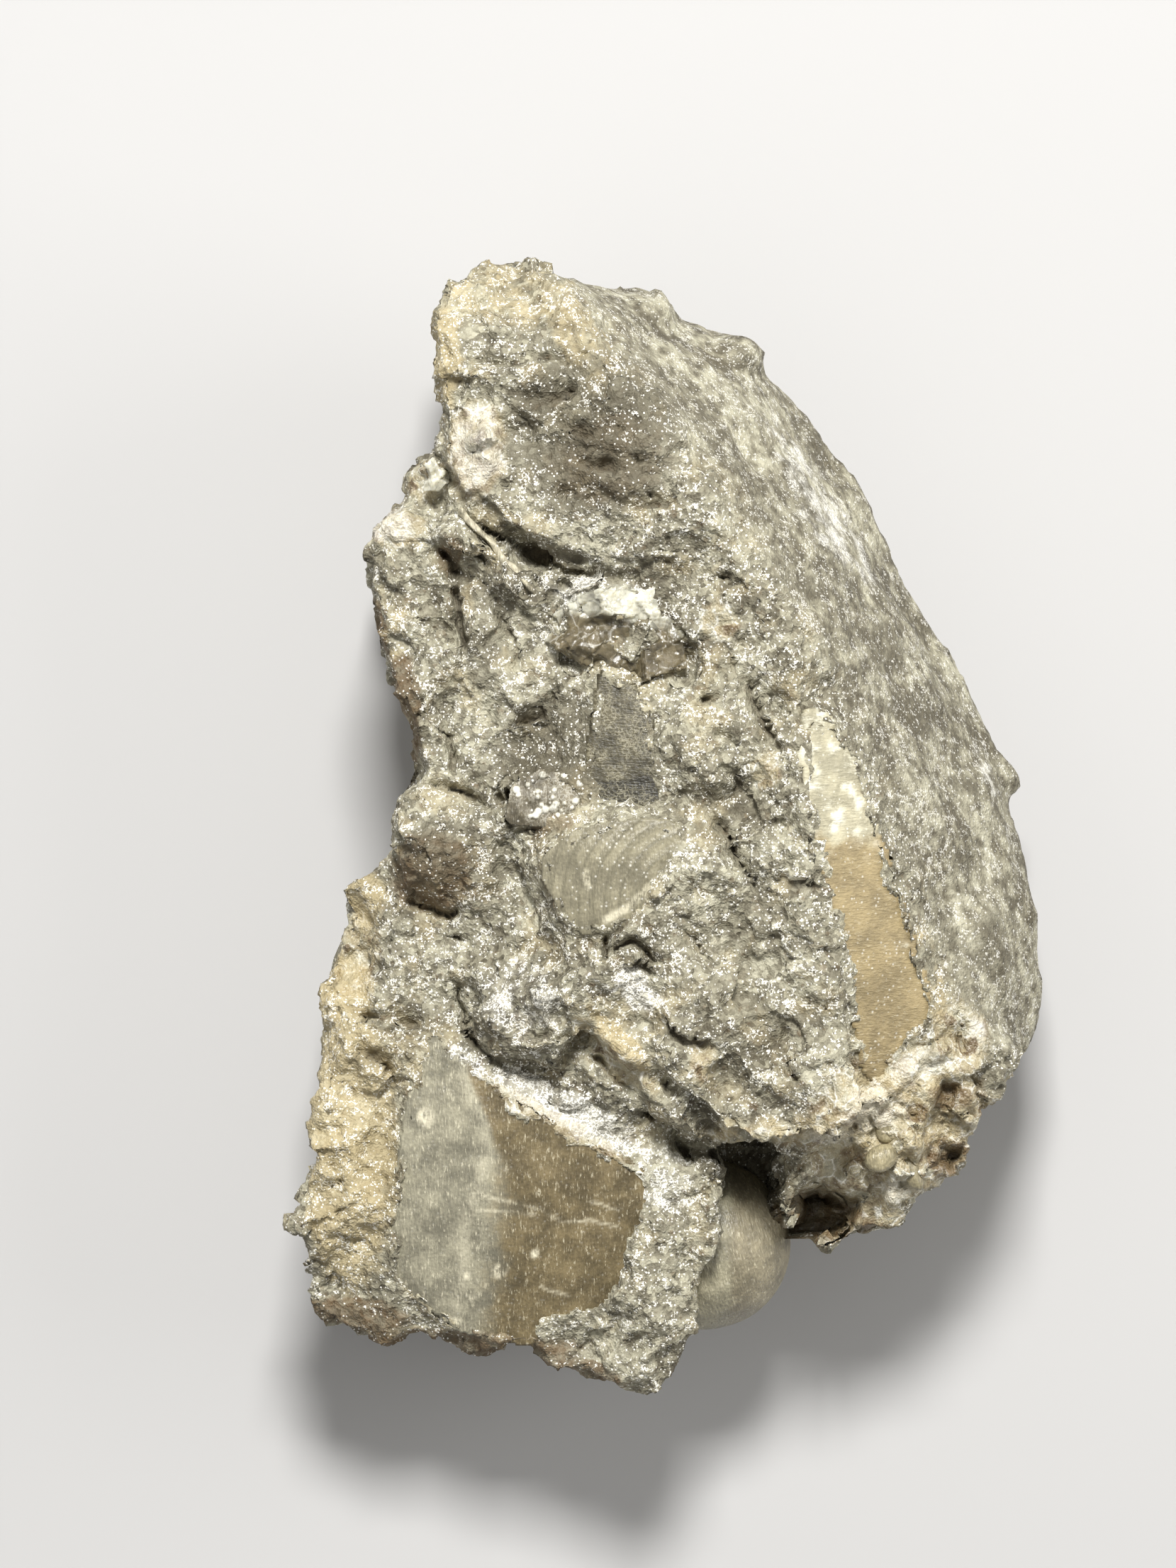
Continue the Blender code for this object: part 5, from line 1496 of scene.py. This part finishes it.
    def _open_beds(self, moved: np.ndarray, flat: np.ndarray, upward: np.ndarray) -> None:
        """Sink the rock under each shell piece and raise a ragged lip round it.

        Args:
            moved: the points, changed in place.
            flat: their x and y, made to wander so that the edges come out ragged.
            upward: how far each point belongs to the upper face.
        """
        for bed in self.beds:
            away = signed_distance(flat, bed.outline)
            height = bed.height(moved)
            near = (np.abs(moved[:, 2] - height) < self.bed_reach) & (upward > 0.3)
            under = near & (away < 0.0)
            moved[under, 2] = np.minimum(moved[under, 2], height[under] - self.bed_gap)
            lip = np.exp(-((np.clip(away, 0.0, None) / self.lip_reach) ** 2))
            wanted = height + self.lip + 0.25 * (moved[:, 2] - height)
            rim = near & (away >= 0.0)
            moved[rim, 2] += (lip * (np.maximum(wanted, moved[:, 2]) - moved[:, 2]))[rim]


@dataclass
class ShellPiece(Piece):
    """A shell piece that lies in a bed of the rock: a curved sheet, a little larger than what shows."""

    name: str
    slot: str
    bed: Bed
    finish: SmoothShell
    step: float = 0.14
    margin: float = 0.35
    thickness: float = 0.45
    ripple: float = 0.05
    ripple_size: float = 1.3

    @property
    def nodes(self) -> tuple[str, ...]:
        """The solid that the sheet stands for."""
        return (self.bed.node,)

    def build(self) -> bpy.types.Object:
        """Model the sheet.

        Returns:
            The sheet.
        """
        corners = np.array(self.bed.outline)
        low, high = corners.min(axis=0) - 2 * self.margin, corners.max(axis=0) + 2 * self.margin
        across, along = high - low
        middle = (low + high) / 2
        deselect()
        cuts = {"x_subdivisions": round(across / self.step), "y_subdivisions": round(along / self.step)}
        bpy.ops.mesh.primitive_grid_add(size=1.0, location=(*middle * MM, 0.0), **cuts)
        sheet = bpy.context.object
        name_piece(sheet, self.name)
        bpy.ops.object.mode_set(mode="EDIT")
        bpy.ops.transform.resize(value=(across * MM, along * MM, 1.0))
        bpy.ops.object.mode_set(mode="OBJECT")
        bpy.ops.object.transform_apply(location=True, rotation=True, scale=True)
        points = points_of(sheet)
        points[:, 2] = self.bed.height(points)
        outside = signed_distance(points[:, :2], self.bed.outline) > self.margin
        self._trim(sheet, outside)
        points = points_of(sheet)
        points[:, 2] = self.bed.height(points) + self.relief(points)
        set_points(sheet, points)
        self.tones(sheet, points)
        wall = sheet.modifiers.new("wall", "SOLIDIFY")
        wall.thickness = self.thickness * MM
        wall.offset = -1.0
        apply_all(sheet)
        return sheet

    def _trim(self, sheet: bpy.types.Object, outside: np.ndarray) -> None:
        """Delete the points of the grid that lie outside the sheet.

        Args:
            sheet: the grid.
            outside: which of its points go.
        """
        bpy.ops.object.mode_set(mode="EDIT")
        bpy.ops.mesh.select_mode(type="VERT")
        bpy.ops.mesh.select_all(action="DESELECT")
        bpy.ops.object.mode_set(mode="OBJECT")
        sheet.data.vertices.foreach_set("select", outside)
        bpy.ops.object.mode_set(mode="EDIT")
        bpy.ops.mesh.delete(type="VERT")
        bpy.ops.object.mode_set(mode="OBJECT")

    def relief(self, points: np.ndarray) -> np.ndarray:
        """Low relief of the shell's surface, in millimetres."""
        return self.ripple * stone_noise(points, self.ripple_size, 2.0)

    def tones(self, sheet: bpy.types.Object, points: np.ndarray) -> None:
        """Store the second colour and the veins."""
        store(sheet, "second", np.zeros(len(points)))
        store(sheet, "vein", np.zeros(len(points)))


@dataclass
class SmoothPlate(ShellPiece):
    """The large plate at the lower left: grey on its left, olive-brown on its right."""

    fold: tuple[Point, ...] = (
        (-8.6, -9.0), (-8.4, -9.7), (-7.6, -11.7), (-7.5, -12.8), (-8.2, -15.0), (-8.8, -19.8),
    )
    fold_rise: float = 0.1
    veins: tuple[tuple[Point, ...], ...] = (
        ((-8.0, -14.2), (-6.8, -14.5), (-5.4, -14.8), (-4.6, -15.3)),
        ((-4.6, -15.3), (-3.4, -15.25), (-2.4, -15.5)),
        ((-7.9, -14.9), (-6.6, -14.9), (-5.6, -15.0)),
        ((-3.4, -14.5), (-2.6, -14.8), (-2.2, -14.8)),
        ((-5.4, -17.9), (-4.9, -18.1), (-4.3, -18.3)),
    )
    spots: tuple[tuple[Point, float], ...] = (
        ((-7.0, -17.3), 0.42), ((-8.1, -18.4), 0.2), ((-8.7, -19.4), 0.3), ((-8.3, -17.5), 0.25),
        ((-9.9, -11.2), 0.5), ((-5.6, -16.6), 0.25),
    )

    def relief(self, points: np.ndarray) -> np.ndarray:
        """Soft ripples and the rounded fold between the two halves."""
        away = path_distance(points[:, :2], self.fold)[0]
        return super().relief(points) + self.fold_rise * np.exp(-((away / 0.5) ** 2))

    def tones(self, sheet: bpy.types.Object, points: np.ndarray) -> None:
        """Store the olive half, the white veins and the pale spots.

        Args:
            sheet: the sheet.
            points: its points in millimetres, one row each.
        """
        away, _, side = path_distance(points[:, :2], self.fold)
        spread = 0.5 + 1.7 * smooth_step(points[:, 1], -11.5, -15.5)
        olive = smooth_step(side * away / spread, -0.5, 1.6)
        wander = points[:, :2] + 0.07 * noise_pair(points, 0.5, (31.0, 37.0))
        vein = np.zeros(len(points))
        for path in self.veins:
            vein = np.maximum(vein, 0.5 * smooth_step(path_distance(wander, path)[0], 0.11, 0.0))
        vein = np.maximum(vein, 0.2 * np.exp(-((away / 0.25) ** 2)))
        for centre, radius in self.spots:
            away = np.hypot(*(wander - centre).T)
            vein = np.maximum(vein, smooth_step(away, radius, 0.3 * radius))
        store(sheet, "second", olive)
        store(sheet, "vein", vein)


@dataclass
class RibbedPiece(ShellPiece):
    """The piece with growth lines: low ridges that follow its rounded upper left edge."""

    centre: Point = (0.7, -2.9)
    spacing: float = 0.56
    fine_share: float = 0.37
    rib: float = 0.0168

    def _ribs(self, points: np.ndarray) -> np.ndarray:
        """Height of the growth lines between -1 and 1.

        Args:
            points: x, y and z of each point, one row each.

        Returns:
            The height at each point.
        """
        reach = np.hypot(*(points[:, :2] - self.centre).T) + 0.1 * stone_noise(points, 1.2, 41.0)
        turns = 2.0 * math.pi * reach / self.spacing
        return np.sin(turns) + 0.5 * np.sin(turns / self.fine_share)

    def relief(self, points: np.ndarray) -> np.ndarray:
        """The growth lines over soft ripples."""
        return super().relief(points) + self.rib * self._ribs(points)

    def tones(self, sheet: bpy.types.Object, points: np.ndarray) -> None:
        """Store the darker lines and a pale fleck.

        Args:
            sheet: the sheet.
            points: its points in millimetres, one row each.
        """
        store(sheet, "second", 0.4 + 0.13 * self._ribs(points))
        fleck = path_distance(points[:, :2], ((-3.6, -1.6), (-3.5, -2.1)))[0]
        rim = path_distance(points[:, :2], ((-2.8, -3.4), (-1.9, -2.9), (-1.1, -2.1)))[0]
        store(sheet, "vein", 0.8 * smooth_step(np.minimum(fleck, rim), 0.25, 0.05))


@dataclass
class BuffStrip(ShellPiece):
    """The long tan strip on the ridge: crystalline cream at its upper end."""

    cream_from: float = -1.2
    cream_to: float = 0.4

    def tones(self, sheet: bpy.types.Object, points: np.ndarray) -> None:
        """Store the cream upper end and the pale crystals in it.

        Args:
            sheet: the sheet.
            points: its points in millimetres, one row each.
        """
        wander = points[:, 1] + 0.8 * stone_noise(points, 1.2, 51.0)
        cream = smooth_step(wander, self.cream_from, self.cream_to)
        store(sheet, "second", cream)
        glints = smooth_step(stone_noise(points, 0.5, 61.0), 0.1, 0.5)
        low = smooth_step(np.hypot(*(points[:, :2] - (8.6, -4.6)).T), 0.7, 0.2)
        store(sheet, "vein", np.maximum(cream * glints, low * glints))

    def relief(self, points: np.ndarray) -> np.ndarray:
        """A rough upper end."""
        cream = smooth_step(points[:, 1], self.cream_from, self.cream_to)
        return super().relief(points) + cream * 0.16 * broken_facets(points, 0.6, 7.0)


@dataclass
class GreyStrip(ShellPiece):
    """The dark grey strip with fine fibres across it, with painted shade that makes it darkest at its lower
    end and darker on its right.
    """

    def tones(self, sheet: bpy.types.Object, points: np.ndarray) -> None:
        """Store the painted shade: darkest at the lower end, and darker towards the right.

        Args:
            sheet: the sheet.
            points: its points in millimetres, one row each.
        """
        # Painted shade: the lower end and the right side take the darker colour.
        dark = smooth_step(points[:, 1], 2.3, 1.7) + 0.5 * smooth_step(points[:, 0], -2.2, -1.4)
        store(sheet, "second", dark)
        store(sheet, "vein", np.zeros(len(points)))


@dataclass
class BeadedPiece(ShellPiece):
    """The small patch with rows of beads."""

    rows: int = 7
    beads: int = 11
    pitch: float = 0.26
    bead: float = 0.13
    jitter: float = 0.18
    left_out: float = 0.3

    def _beads(self, points: np.ndarray) -> np.ndarray:
        """Height of the beads, in staggered rows.

        Args:
            points: x, y and z of each point, one row each.

        Returns:
            The height at each point, in millimetres.
        """
        west, south = np.array(self.bed.outline).min(axis=0)
        height = np.zeros(len(points))
        for row in range(self.rows):
            for place in range(self.beads):
                shift = 0.5 * (row % 2)
                x = west + (place + shift + 0.3) * self.pitch
                centre = Vector((x, south + (row + 0.4) * self.pitch, 0.0))
                jitter = noise.cell_vector(centre * 3.7) - Vector((0.5, 0.5, 0.5))
                size = self.bead * (1.0 + 0.8 * jitter.z) * (noise.cell(centre * 5.3) > self.left_out)
                middle = np.array(centre.xy + self.jitter * jitter.xy)
                away = np.hypot(*(points[:, :2] - middle).T)
                height = np.maximum(height, np.sqrt(np.clip(size * size - away * away, 0.0, None)))
        return height

    def relief(self, points: np.ndarray) -> np.ndarray:
        """The beads on uneven ground."""
        return super().relief(points) + self._beads(points)

    def tones(self, sheet: bpy.types.Object, points: np.ndarray) -> None:
        """Store pale beads on a brown ground.

        Args:
            sheet: the sheet.
            points: its points in millimetres, one row each.
        """
        high = self._beads(points)
        store(sheet, "second", smooth_step(high, 0.07, 0.0))
        store(sheet, "vein", smooth_step(high, 0.04, 0.12))


@dataclass
class ShellDome(Piece):
    """The smooth dome at the bottom, half sunk in the rock."""

    node: str = "domed_shell"
    slot: str = "domed_shell"
    grow: float = 0.12
    dents: float = 0.05
    finish: SmoothShell = field(
        default_factory=lambda: SmoothShell(
            "domed_shell_finish", (0.265, 0.23, 0.15), (0.29, 0.265, 0.18), streak=0.45, streak_turn=15.0,
            roughness=0.36,
        )
    )

    def build(self) -> bpy.types.Object:
        """Model the dome.

        Returns:
            The dome.
        """
        low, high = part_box(self.node)
        centre = (low + high) / 2
        radius = (high.x - low.x) / 2 + self.grow * MM
        deselect()
        bpy.ops.mesh.primitive_uv_sphere_add(segments=96, ring_count=64, radius=radius, location=centre)
        dome = bpy.context.object
        name_piece(dome, "shell_dome")
        bpy.ops.object.transform_apply(location=True, rotation=True, scale=True)
        points = points_of(dome)
        points += normals_of(dome) * (self.dents * stone_noise(points, 1.8, 71.0))[:, None]
        set_points(dome, points)
        store(dome, "second", smooth_step(points[:, 0], 3.0, 1.4))
        store(dome, "vein", np.zeros(len(points)))
        return dome


@dataclass
class ShellSliver(Piece):
    """The thin shell seen edge-on, which crosses the hollow under the upper block."""

    node: str = "shell_sliver"
    slot: str = "pale_shell"
    path: tuple[Place, ...] = (
        (-8.6, 12.5, 15.4), (-8.1, 12.05, 15.5), (-7.5, 11.35, 15.6), (-6.9, 10.7, 15.65),
        (-6.3, 10.15, 15.65), (-5.7, 9.45, 15.45), (-5.2, 9.0, 14.9),
    )
    width: float = 0.24
    depth: float = 1.4
    steps: int = 6
    ragged: float = 0.14
    finish: SmoothShell = field(
        default_factory=lambda: SmoothShell(
            "pale_shell_finish", (0.25, 0.22, 0.15), (0.4, 0.36, 0.25), streak=0.4, roughness=0.5,
            grain=0.8, contrast=1.0,
        )
    )

    def build(self) -> bpy.types.Object:
        """Model the sliver: a path drawn down into a wall, thickened and broken along its edge.

        Returns:
            The sliver.
        """
        mesh = bpy.data.meshes.new("edge_on_sliver")
        spots = [Vector(p) * MM for p in self._dense()]
        mesh.from_pydata(spots, [(i, i + 1) for i in range(len(spots) - 1)], [])
        sliver = linked("edge_on_sliver", mesh)
        only(sliver)
        bpy.ops.object.mode_set(mode="EDIT")
        bpy.ops.mesh.select_all(action="SELECT")
        down = {"value": (0.0, 0.0, -self.depth * MM / self.steps)}
        for _ in range(self.steps):
            bpy.ops.mesh.extrude_region_move(TRANSFORM_OT_translate=down)
        bpy.ops.mesh.select_all(action="SELECT")
        bpy.ops.mesh.normals_make_consistent(inside=False)
        bpy.ops.object.mode_set(mode="OBJECT")
        wall = sliver.modifiers.new("wall", "SOLIDIFY")
        wall.thickness = self.width * MM
        wall.offset = 0.0
        round_off = sliver.modifiers.new("round", "SUBSURF")
        round_off.levels = 2
        round_off.render_levels = 2
        apply_all(sliver)
        points = points_of(sliver)
        points += normals_of(sliver) * (0.04 * stone_noise(points, 0.35, 81.0))[:, None]
        points[:, :2] += (self.ragged * stone_noise(points, 0.9, 85.0))[:, None]
        points[:, 2] += self.ragged * 1.6 * stone_noise(points * (1.0, 1.0, 0.0), 0.4, 87.0)
        set_points(sliver, points)
        store(sliver, "second", smooth_step(stone_noise(points, 0.8, 83.0), -0.2, 0.4))
        store(sliver, "vein", smooth_step(points[:, 2], 15.1, 15.5) * 0.5)
        return sliver

    def _dense(self) -> list[Place]:
        """The path with a point every third of each stretch.

        Returns:
            The path's points.
        """
        dense = []
        for start, end in zip(self.path, self.path[1:]):
            for share in (0.0, 1 / 3, 2 / 3):
                dense.append(tuple(a + (b - a) * share for a, b in zip(start, end)))
        return dense + [self.path[-1]]


@dataclass(frozen=True)
class Rhomb:
    """One calcite crystal: its middle, sizes, turns in degrees, and how smoky it is."""

    centre: Place
    sizes: Place
    turns: Place
    smoky: float = 0.0


@dataclass
class CalciteCluster(Piece):
    """Grown-together calcite crystals: white and fractured above, smoky brown below."""

    name: str
    crystals: tuple[Rhomb, ...]
    node: str = ""
    slot: str = "calcite"
    lean: float = 0.27
    bevel: float = 0.07
    voxel: float = 0.07
    fractures: tuple[Point, ...] = ((0.8, 0.26), (0.3, 0.078))
    finish: CloudyCalcite = field(default_factory=CloudyCalcite)

    def build(self) -> bpy.types.Object:
        """Model the cluster.

        Returns:
            The cluster.
        """
        grains = [self._crystal(rhomb) for rhomb in self.crystals]
        cluster = grains[0]
        for grain in grains[1:]:
            union = cluster.modifiers.new("union", "BOOLEAN")
            union.operation = "UNION"
            union.solver = "EXACT"
            union.object = grain
            apply_all(cluster)
            bpy.data.objects.remove(grain, do_unlink=True)
        skin = cluster.modifiers.new("skin", "REMESH")
        skin.mode = "VOXEL"
        skin.voxel_size = self.voxel * MM
        apply_all(cluster)
        name_piece(cluster, self.name)
        points = points_of(cluster)
        (coarse, deep), (fine, low) = self.fractures
        broken = deep * broken_facets(points, coarse, 9.0) + low * broken_facets(points, fine, 6.0)
        points += normals_of(cluster) * broken[:, None]
        set_points(cluster, points)
        smoky = np.zeros(len(points))
        for rhomb in self.crystals:
            away = np.linalg.norm(points - rhomb.centre, axis=1)
            reach = max(rhomb.sizes)
            smoky = np.maximum(smoky, rhomb.smoky * smooth_step(away, reach, 0.45 * reach))
        store(cluster, "second", smoky)
        return cluster

    def _crystal(self, rhomb: Rhomb) -> bpy.types.Object:
        """Model one rhomb with bevelled edges.

        Args:
            rhomb: the crystal's place, sizes and turns.

        Returns:
            The crystal.
        """
        deselect()
        bpy.ops.mesh.primitive_cube_add(size=MM)
        grain = bpy.context.object
        bpy.ops.object.mode_set(mode="EDIT")
        bpy.ops.mesh.select_all(action="SELECT")
        bpy.ops.transform.resize(value=rhomb.sizes)
        bpy.ops.mesh.bevel(offset=self.bevel * MM, segments=1)
        bpy.ops.object.mode_set(mode="OBJECT")
        lean = Matrix(((1.0, self.lean, self.lean), (0.0, 1.0, self.lean), (0.0, 0.0, 1.0))).to_4x4()
        turn = Matrix.Identity(4)
        for axis, angle in zip("XYZ", rhomb.turns):
            turn = Matrix.Rotation(math.radians(angle), 4, axis) @ turn
        grain.data.transform(Matrix.Translation(Vector(rhomb.centre) * MM) @ turn @ lean)
        return grain


MAIN_CRYSTALS = (
    Rhomb((-3.2, 8.75, 15.4), (1.6, 1.3, 1.1), (14, -12, 12), 0.1),
    Rhomb((-2.3, 8.8, 15.6), (1.7, 1.2, 1.0), (-10, 12, -8)),
    Rhomb((-1.5, 8.7, 15.45), (1.2, 1.1, 1.0), (12, 10, 24)),
    Rhomb((-4.2, 8.2, 15.0), (1.3, 1.4, 1.0), (10, -8, 38), 0.3),
    Rhomb((-3.8, 7.4, 15.0), (1.8, 1.5, 1.0), (12, 10, -32), 0.9),
    Rhomb((-2.8, 7.3, 15.15), (2.0, 1.6, 1.0), (-6, 6, -28), 1.0),
    Rhomb((-2.4, 6.6, 15.0), (1.5, 1.2, 1.0), (10, 12, 14), 1.0),
    Rhomb((-1.5, 7.7, 15.2), (1.5, 1.5, 1.0), (10, -8, 10), 0.3),
    Rhomb((-0.7, 6.7, 15.4), (1.8, 1.4, 1.0), (8, 10, 20), 0.9),
    Rhomb((-0.4, 7.6, 15.4), (1.2, 1.2, 1.0), (-12, 8, 34), 0.5),
)
CORNER_CRYSTALS = (
    Rhomb((-9.55, 13.55, 14.3), (0.6, 0.6, 0.6), (20, 30, 10)),
    Rhomb((-9.6, 14.15, 14.3), (0.55, 0.55, 0.55), (-25, 10, 40)),
    Rhomb((-9.2, 13.9, 14.2), (0.5, 0.5, 0.5), (10, -20, 70)),
)


@dataclass
class EggGrains(Piece):
    """The rounded greenish grains among the lumps at the lower right: middle, half sizes and turn."""

    slot: str = "domed_shell"
    grains: tuple[tuple[Place, Place, float], ...] = (
        ((7.95, -12.8, 13.15), (0.66, 0.52, 0.5), 25.0),
        ((8.2, -11.6, 12.9), (0.5, 0.6, 0.4), 0.0),
        ((9.15, -13.3, 12.2), (0.36, 0.9, 0.4), 28.0),
    )
    finish: SmoothShell = field(
        default_factory=lambda: SmoothShell(
            "egg_grain_finish", (0.29, 0.25, 0.15), (0.4, 0.36, 0.25), streak=0.3, roughness=0.3,
            grain=0.0, contrast=0.9,
        )
    )

    def build(self) -> bpy.types.Object:
        """Model the grains as one piece.

        Returns:
            The grains.
        """
        parts = []
        for centre, sizes, turn in self.grains:
            deselect()
            bpy.ops.mesh.primitive_uv_sphere_add(segments=40, ring_count=24, radius=MM)
            egg = bpy.context.object
            shape_ball(egg, centre, sizes, turn)
            points = points_of(egg)
            points += normals_of(egg) * (0.04 * stone_noise(points, 0.5, 91.0))[:, None]
            set_points(egg, points)
            parts.append(egg)
        only(parts[0])
        for part in parts:
            part.select_set(True)
        bpy.ops.object.join()
        eggs = parts[0]
        name_piece(eggs, "egg_grains")
        for tone in ("second", "vein"):
            store(eggs, tone, np.zeros(len(eggs.data.vertices)))
        return eggs


@dataclass(frozen=True)
class Lamp:
    """A square light: where it hangs in millimetres, its side in metres and its power in watts."""

    name: str
    place: Place
    side: float
    power: float
    aim: Place = (0.0, 0.0, 10.0)

    def build(self) -> None:
        """Hang the light so that it faces the chunk."""
        light = bpy.data.lights.new(self.name, "AREA")
        light.size = self.side
        light.energy = self.power
        lamp = linked(self.name, light)
        lamp.location = Vector(self.place) * MM
        towards = Vector(self.aim) - Vector(self.place)
        lamp.rotation_euler = towards.to_track_quat("-Z", "Y").to_euler()


@dataclass
class Studio:
    """Floor, lights and camera: the camera looks straight down on the broken face."""

    aim: Point = (-3.51, 1.86)
    face_level: float = 16.0
    distance: float = 300.0
    view_height: float = 60.83
    sensor: float = 24.0
    lamps: tuple[Lamp, ...] = (
        Lamp("key_light", (0.0, 175.0, 290.0), 0.07, 1.75),
        Lamp("side_light", (260.0, 40.0, 150.0), 0.2, 0.4),
        Lamp("fill_light", (-220.0, -60.0, 180.0), 0.3, 0.15),
    )
    sky: float = 0.32

    def build(self) -> None:
        """Set up the floor, the lights and the camera."""
        self._floor()
        for lamp in self.lamps:
            lamp.build()
        world = bpy.data.worlds.new("soft_studio")
        world.use_nodes = True
        ground = world.node_tree.nodes["Background"]
        ground.inputs["Color"].default_value = (1.0, 1.0, 1.0, 1.0)
        ground.inputs["Strength"].default_value = self.sky
        bpy.context.scene.world = world
        bpy.context.scene.view_settings.view_transform = "Standard"
        self._camera()

    def _floor(self) -> None:
        """Lay the floor."""
        deselect()
        bpy.ops.mesh.primitive_plane_add(size=1.2)
        floor = bpy.context.object
        floor.name = "floor"
        floor.data.materials.append(PaleFloor().material())
        floor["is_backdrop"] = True

    def _camera(self) -> None:
        """Hang the camera over the face."""
        lens = bpy.data.cameras.new("camera")
        lens.sensor_fit = "VERTICAL"
        lens.sensor_height = self.sensor
        lens.lens = self.sensor * self.distance / self.view_height
        lens.clip_start = 0.01
        camera = linked("camera", lens)
        camera.location = (self.aim[0] * MM, self.aim[1] * MM, (self.face_level + self.distance) * MM)
        bpy.context.scene.camera = camera


def shell_pieces(beds: dict[str, Bed]) -> Iterable[ShellPiece]:
    """The sheets of shell, each with its finish.

    Args:
        beds: the beds that the sheets lie in, by name.

    Returns:
        The sheets, in the order in which they are built.
    """
    grey, olive = (0.25, 0.231, 0.163), (0.144, 0.111, 0.055)
    plate = SmoothShell(
        "smooth_plate_finish", grey, olive, streak=0.5, roughness=0.4, grain=0.1, contrast=0.8
    )
    yield SmoothPlate("smooth_plate", "smooth_shell", beds["plate"], plate, step=0.1)
    tan = SmoothShell(
        "buff_finish", (0.29, 0.225, 0.115), (0.4, 0.365, 0.25), (0.8, 0.77, 0.62), 0.2, (0.34, 0.08, 0.3),
        roughness=0.5, grain=0.4, contrast=0.5,
    )
    yield BuffStrip("buff_strip", "buff_shell", beds["buff"], tan)
    ribbed = SmoothShell(
        "ribbed_finish", (0.25, 0.225, 0.15), (0.13, 0.117, 0.075), streak=0.06, roughness=0.33, grain=0.5
    )
    yield RibbedPiece("ribbed_piece", "ribbed_shell", beds["ribbed"], ribbed, step=0.08)
    fibres = SmoothShell(
        "grey_finish", (0.08, 0.068, 0.038), (0.034, 0.029, 0.016), (0.5, 0.46, 0.32), 0.2, (0.3, 0.07, 0.3),
        roughness=0.4, grain=0.1, contrast=0.9, net=0.3,
    )
    yield GreyStrip("grey_strip", "grey_shell", beds["grey"], fibres)
    beads = SmoothShell(
        "beaded_finish", (0.4, 0.37, 0.28), (0.15, 0.128, 0.083), (0.8, 0.78, 0.68), 0.3,
        roughness=0.5, grain=0.6, contrast=1.0, net=0.25,
    )
    rough = {"step": 0.04, "ripple": 0.14, "ripple_size": 0.5}
    yield BeadedPiece("beaded_piece", "beaded_shell", beds["beaded"], beads, **rough)


def pieces() -> Iterable[Piece]:
    """Every piece, in the order in which they are built.

    Returns:
        The pieces.
    """
    beds = {name: bed.fitted() for name, bed in BEDS.items()}
    yield LimestoneChunk(beds=tuple(beds.values()))
    yield from shell_pieces(beds)
    yield ShellDome()
    yield ShellSliver()
    yield CalciteCluster("calcite_cluster", MAIN_CRYSTALS, "calcite_crystals")
    yield CalciteCluster("corner_rhombs", CORNER_CRYSTALS)
    yield EggGrains()


def write_sizes(frame_box: Any) -> None:
    """Gather the solids' box and the visible model's box as plain lists of numbers.

    Args:
        frame_box: the corners of the solids' box.
    """
    boxes = {"frame": frame_box, "visual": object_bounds()}
    plain = {name: [list(map(float, corner)) for corner in box] for name, box in boxes.items()}


def main() -> None:
    """Build every piece in order and report each of them."""
    logging.basicConfig(level=logging.INFO, format="%(name)s %(message)s")
    frame_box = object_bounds()
    for piece in pieces():
        piece.place()
    Studio().build()
    write_sizes(frame_box)


if __name__ == "__main__":
    main()
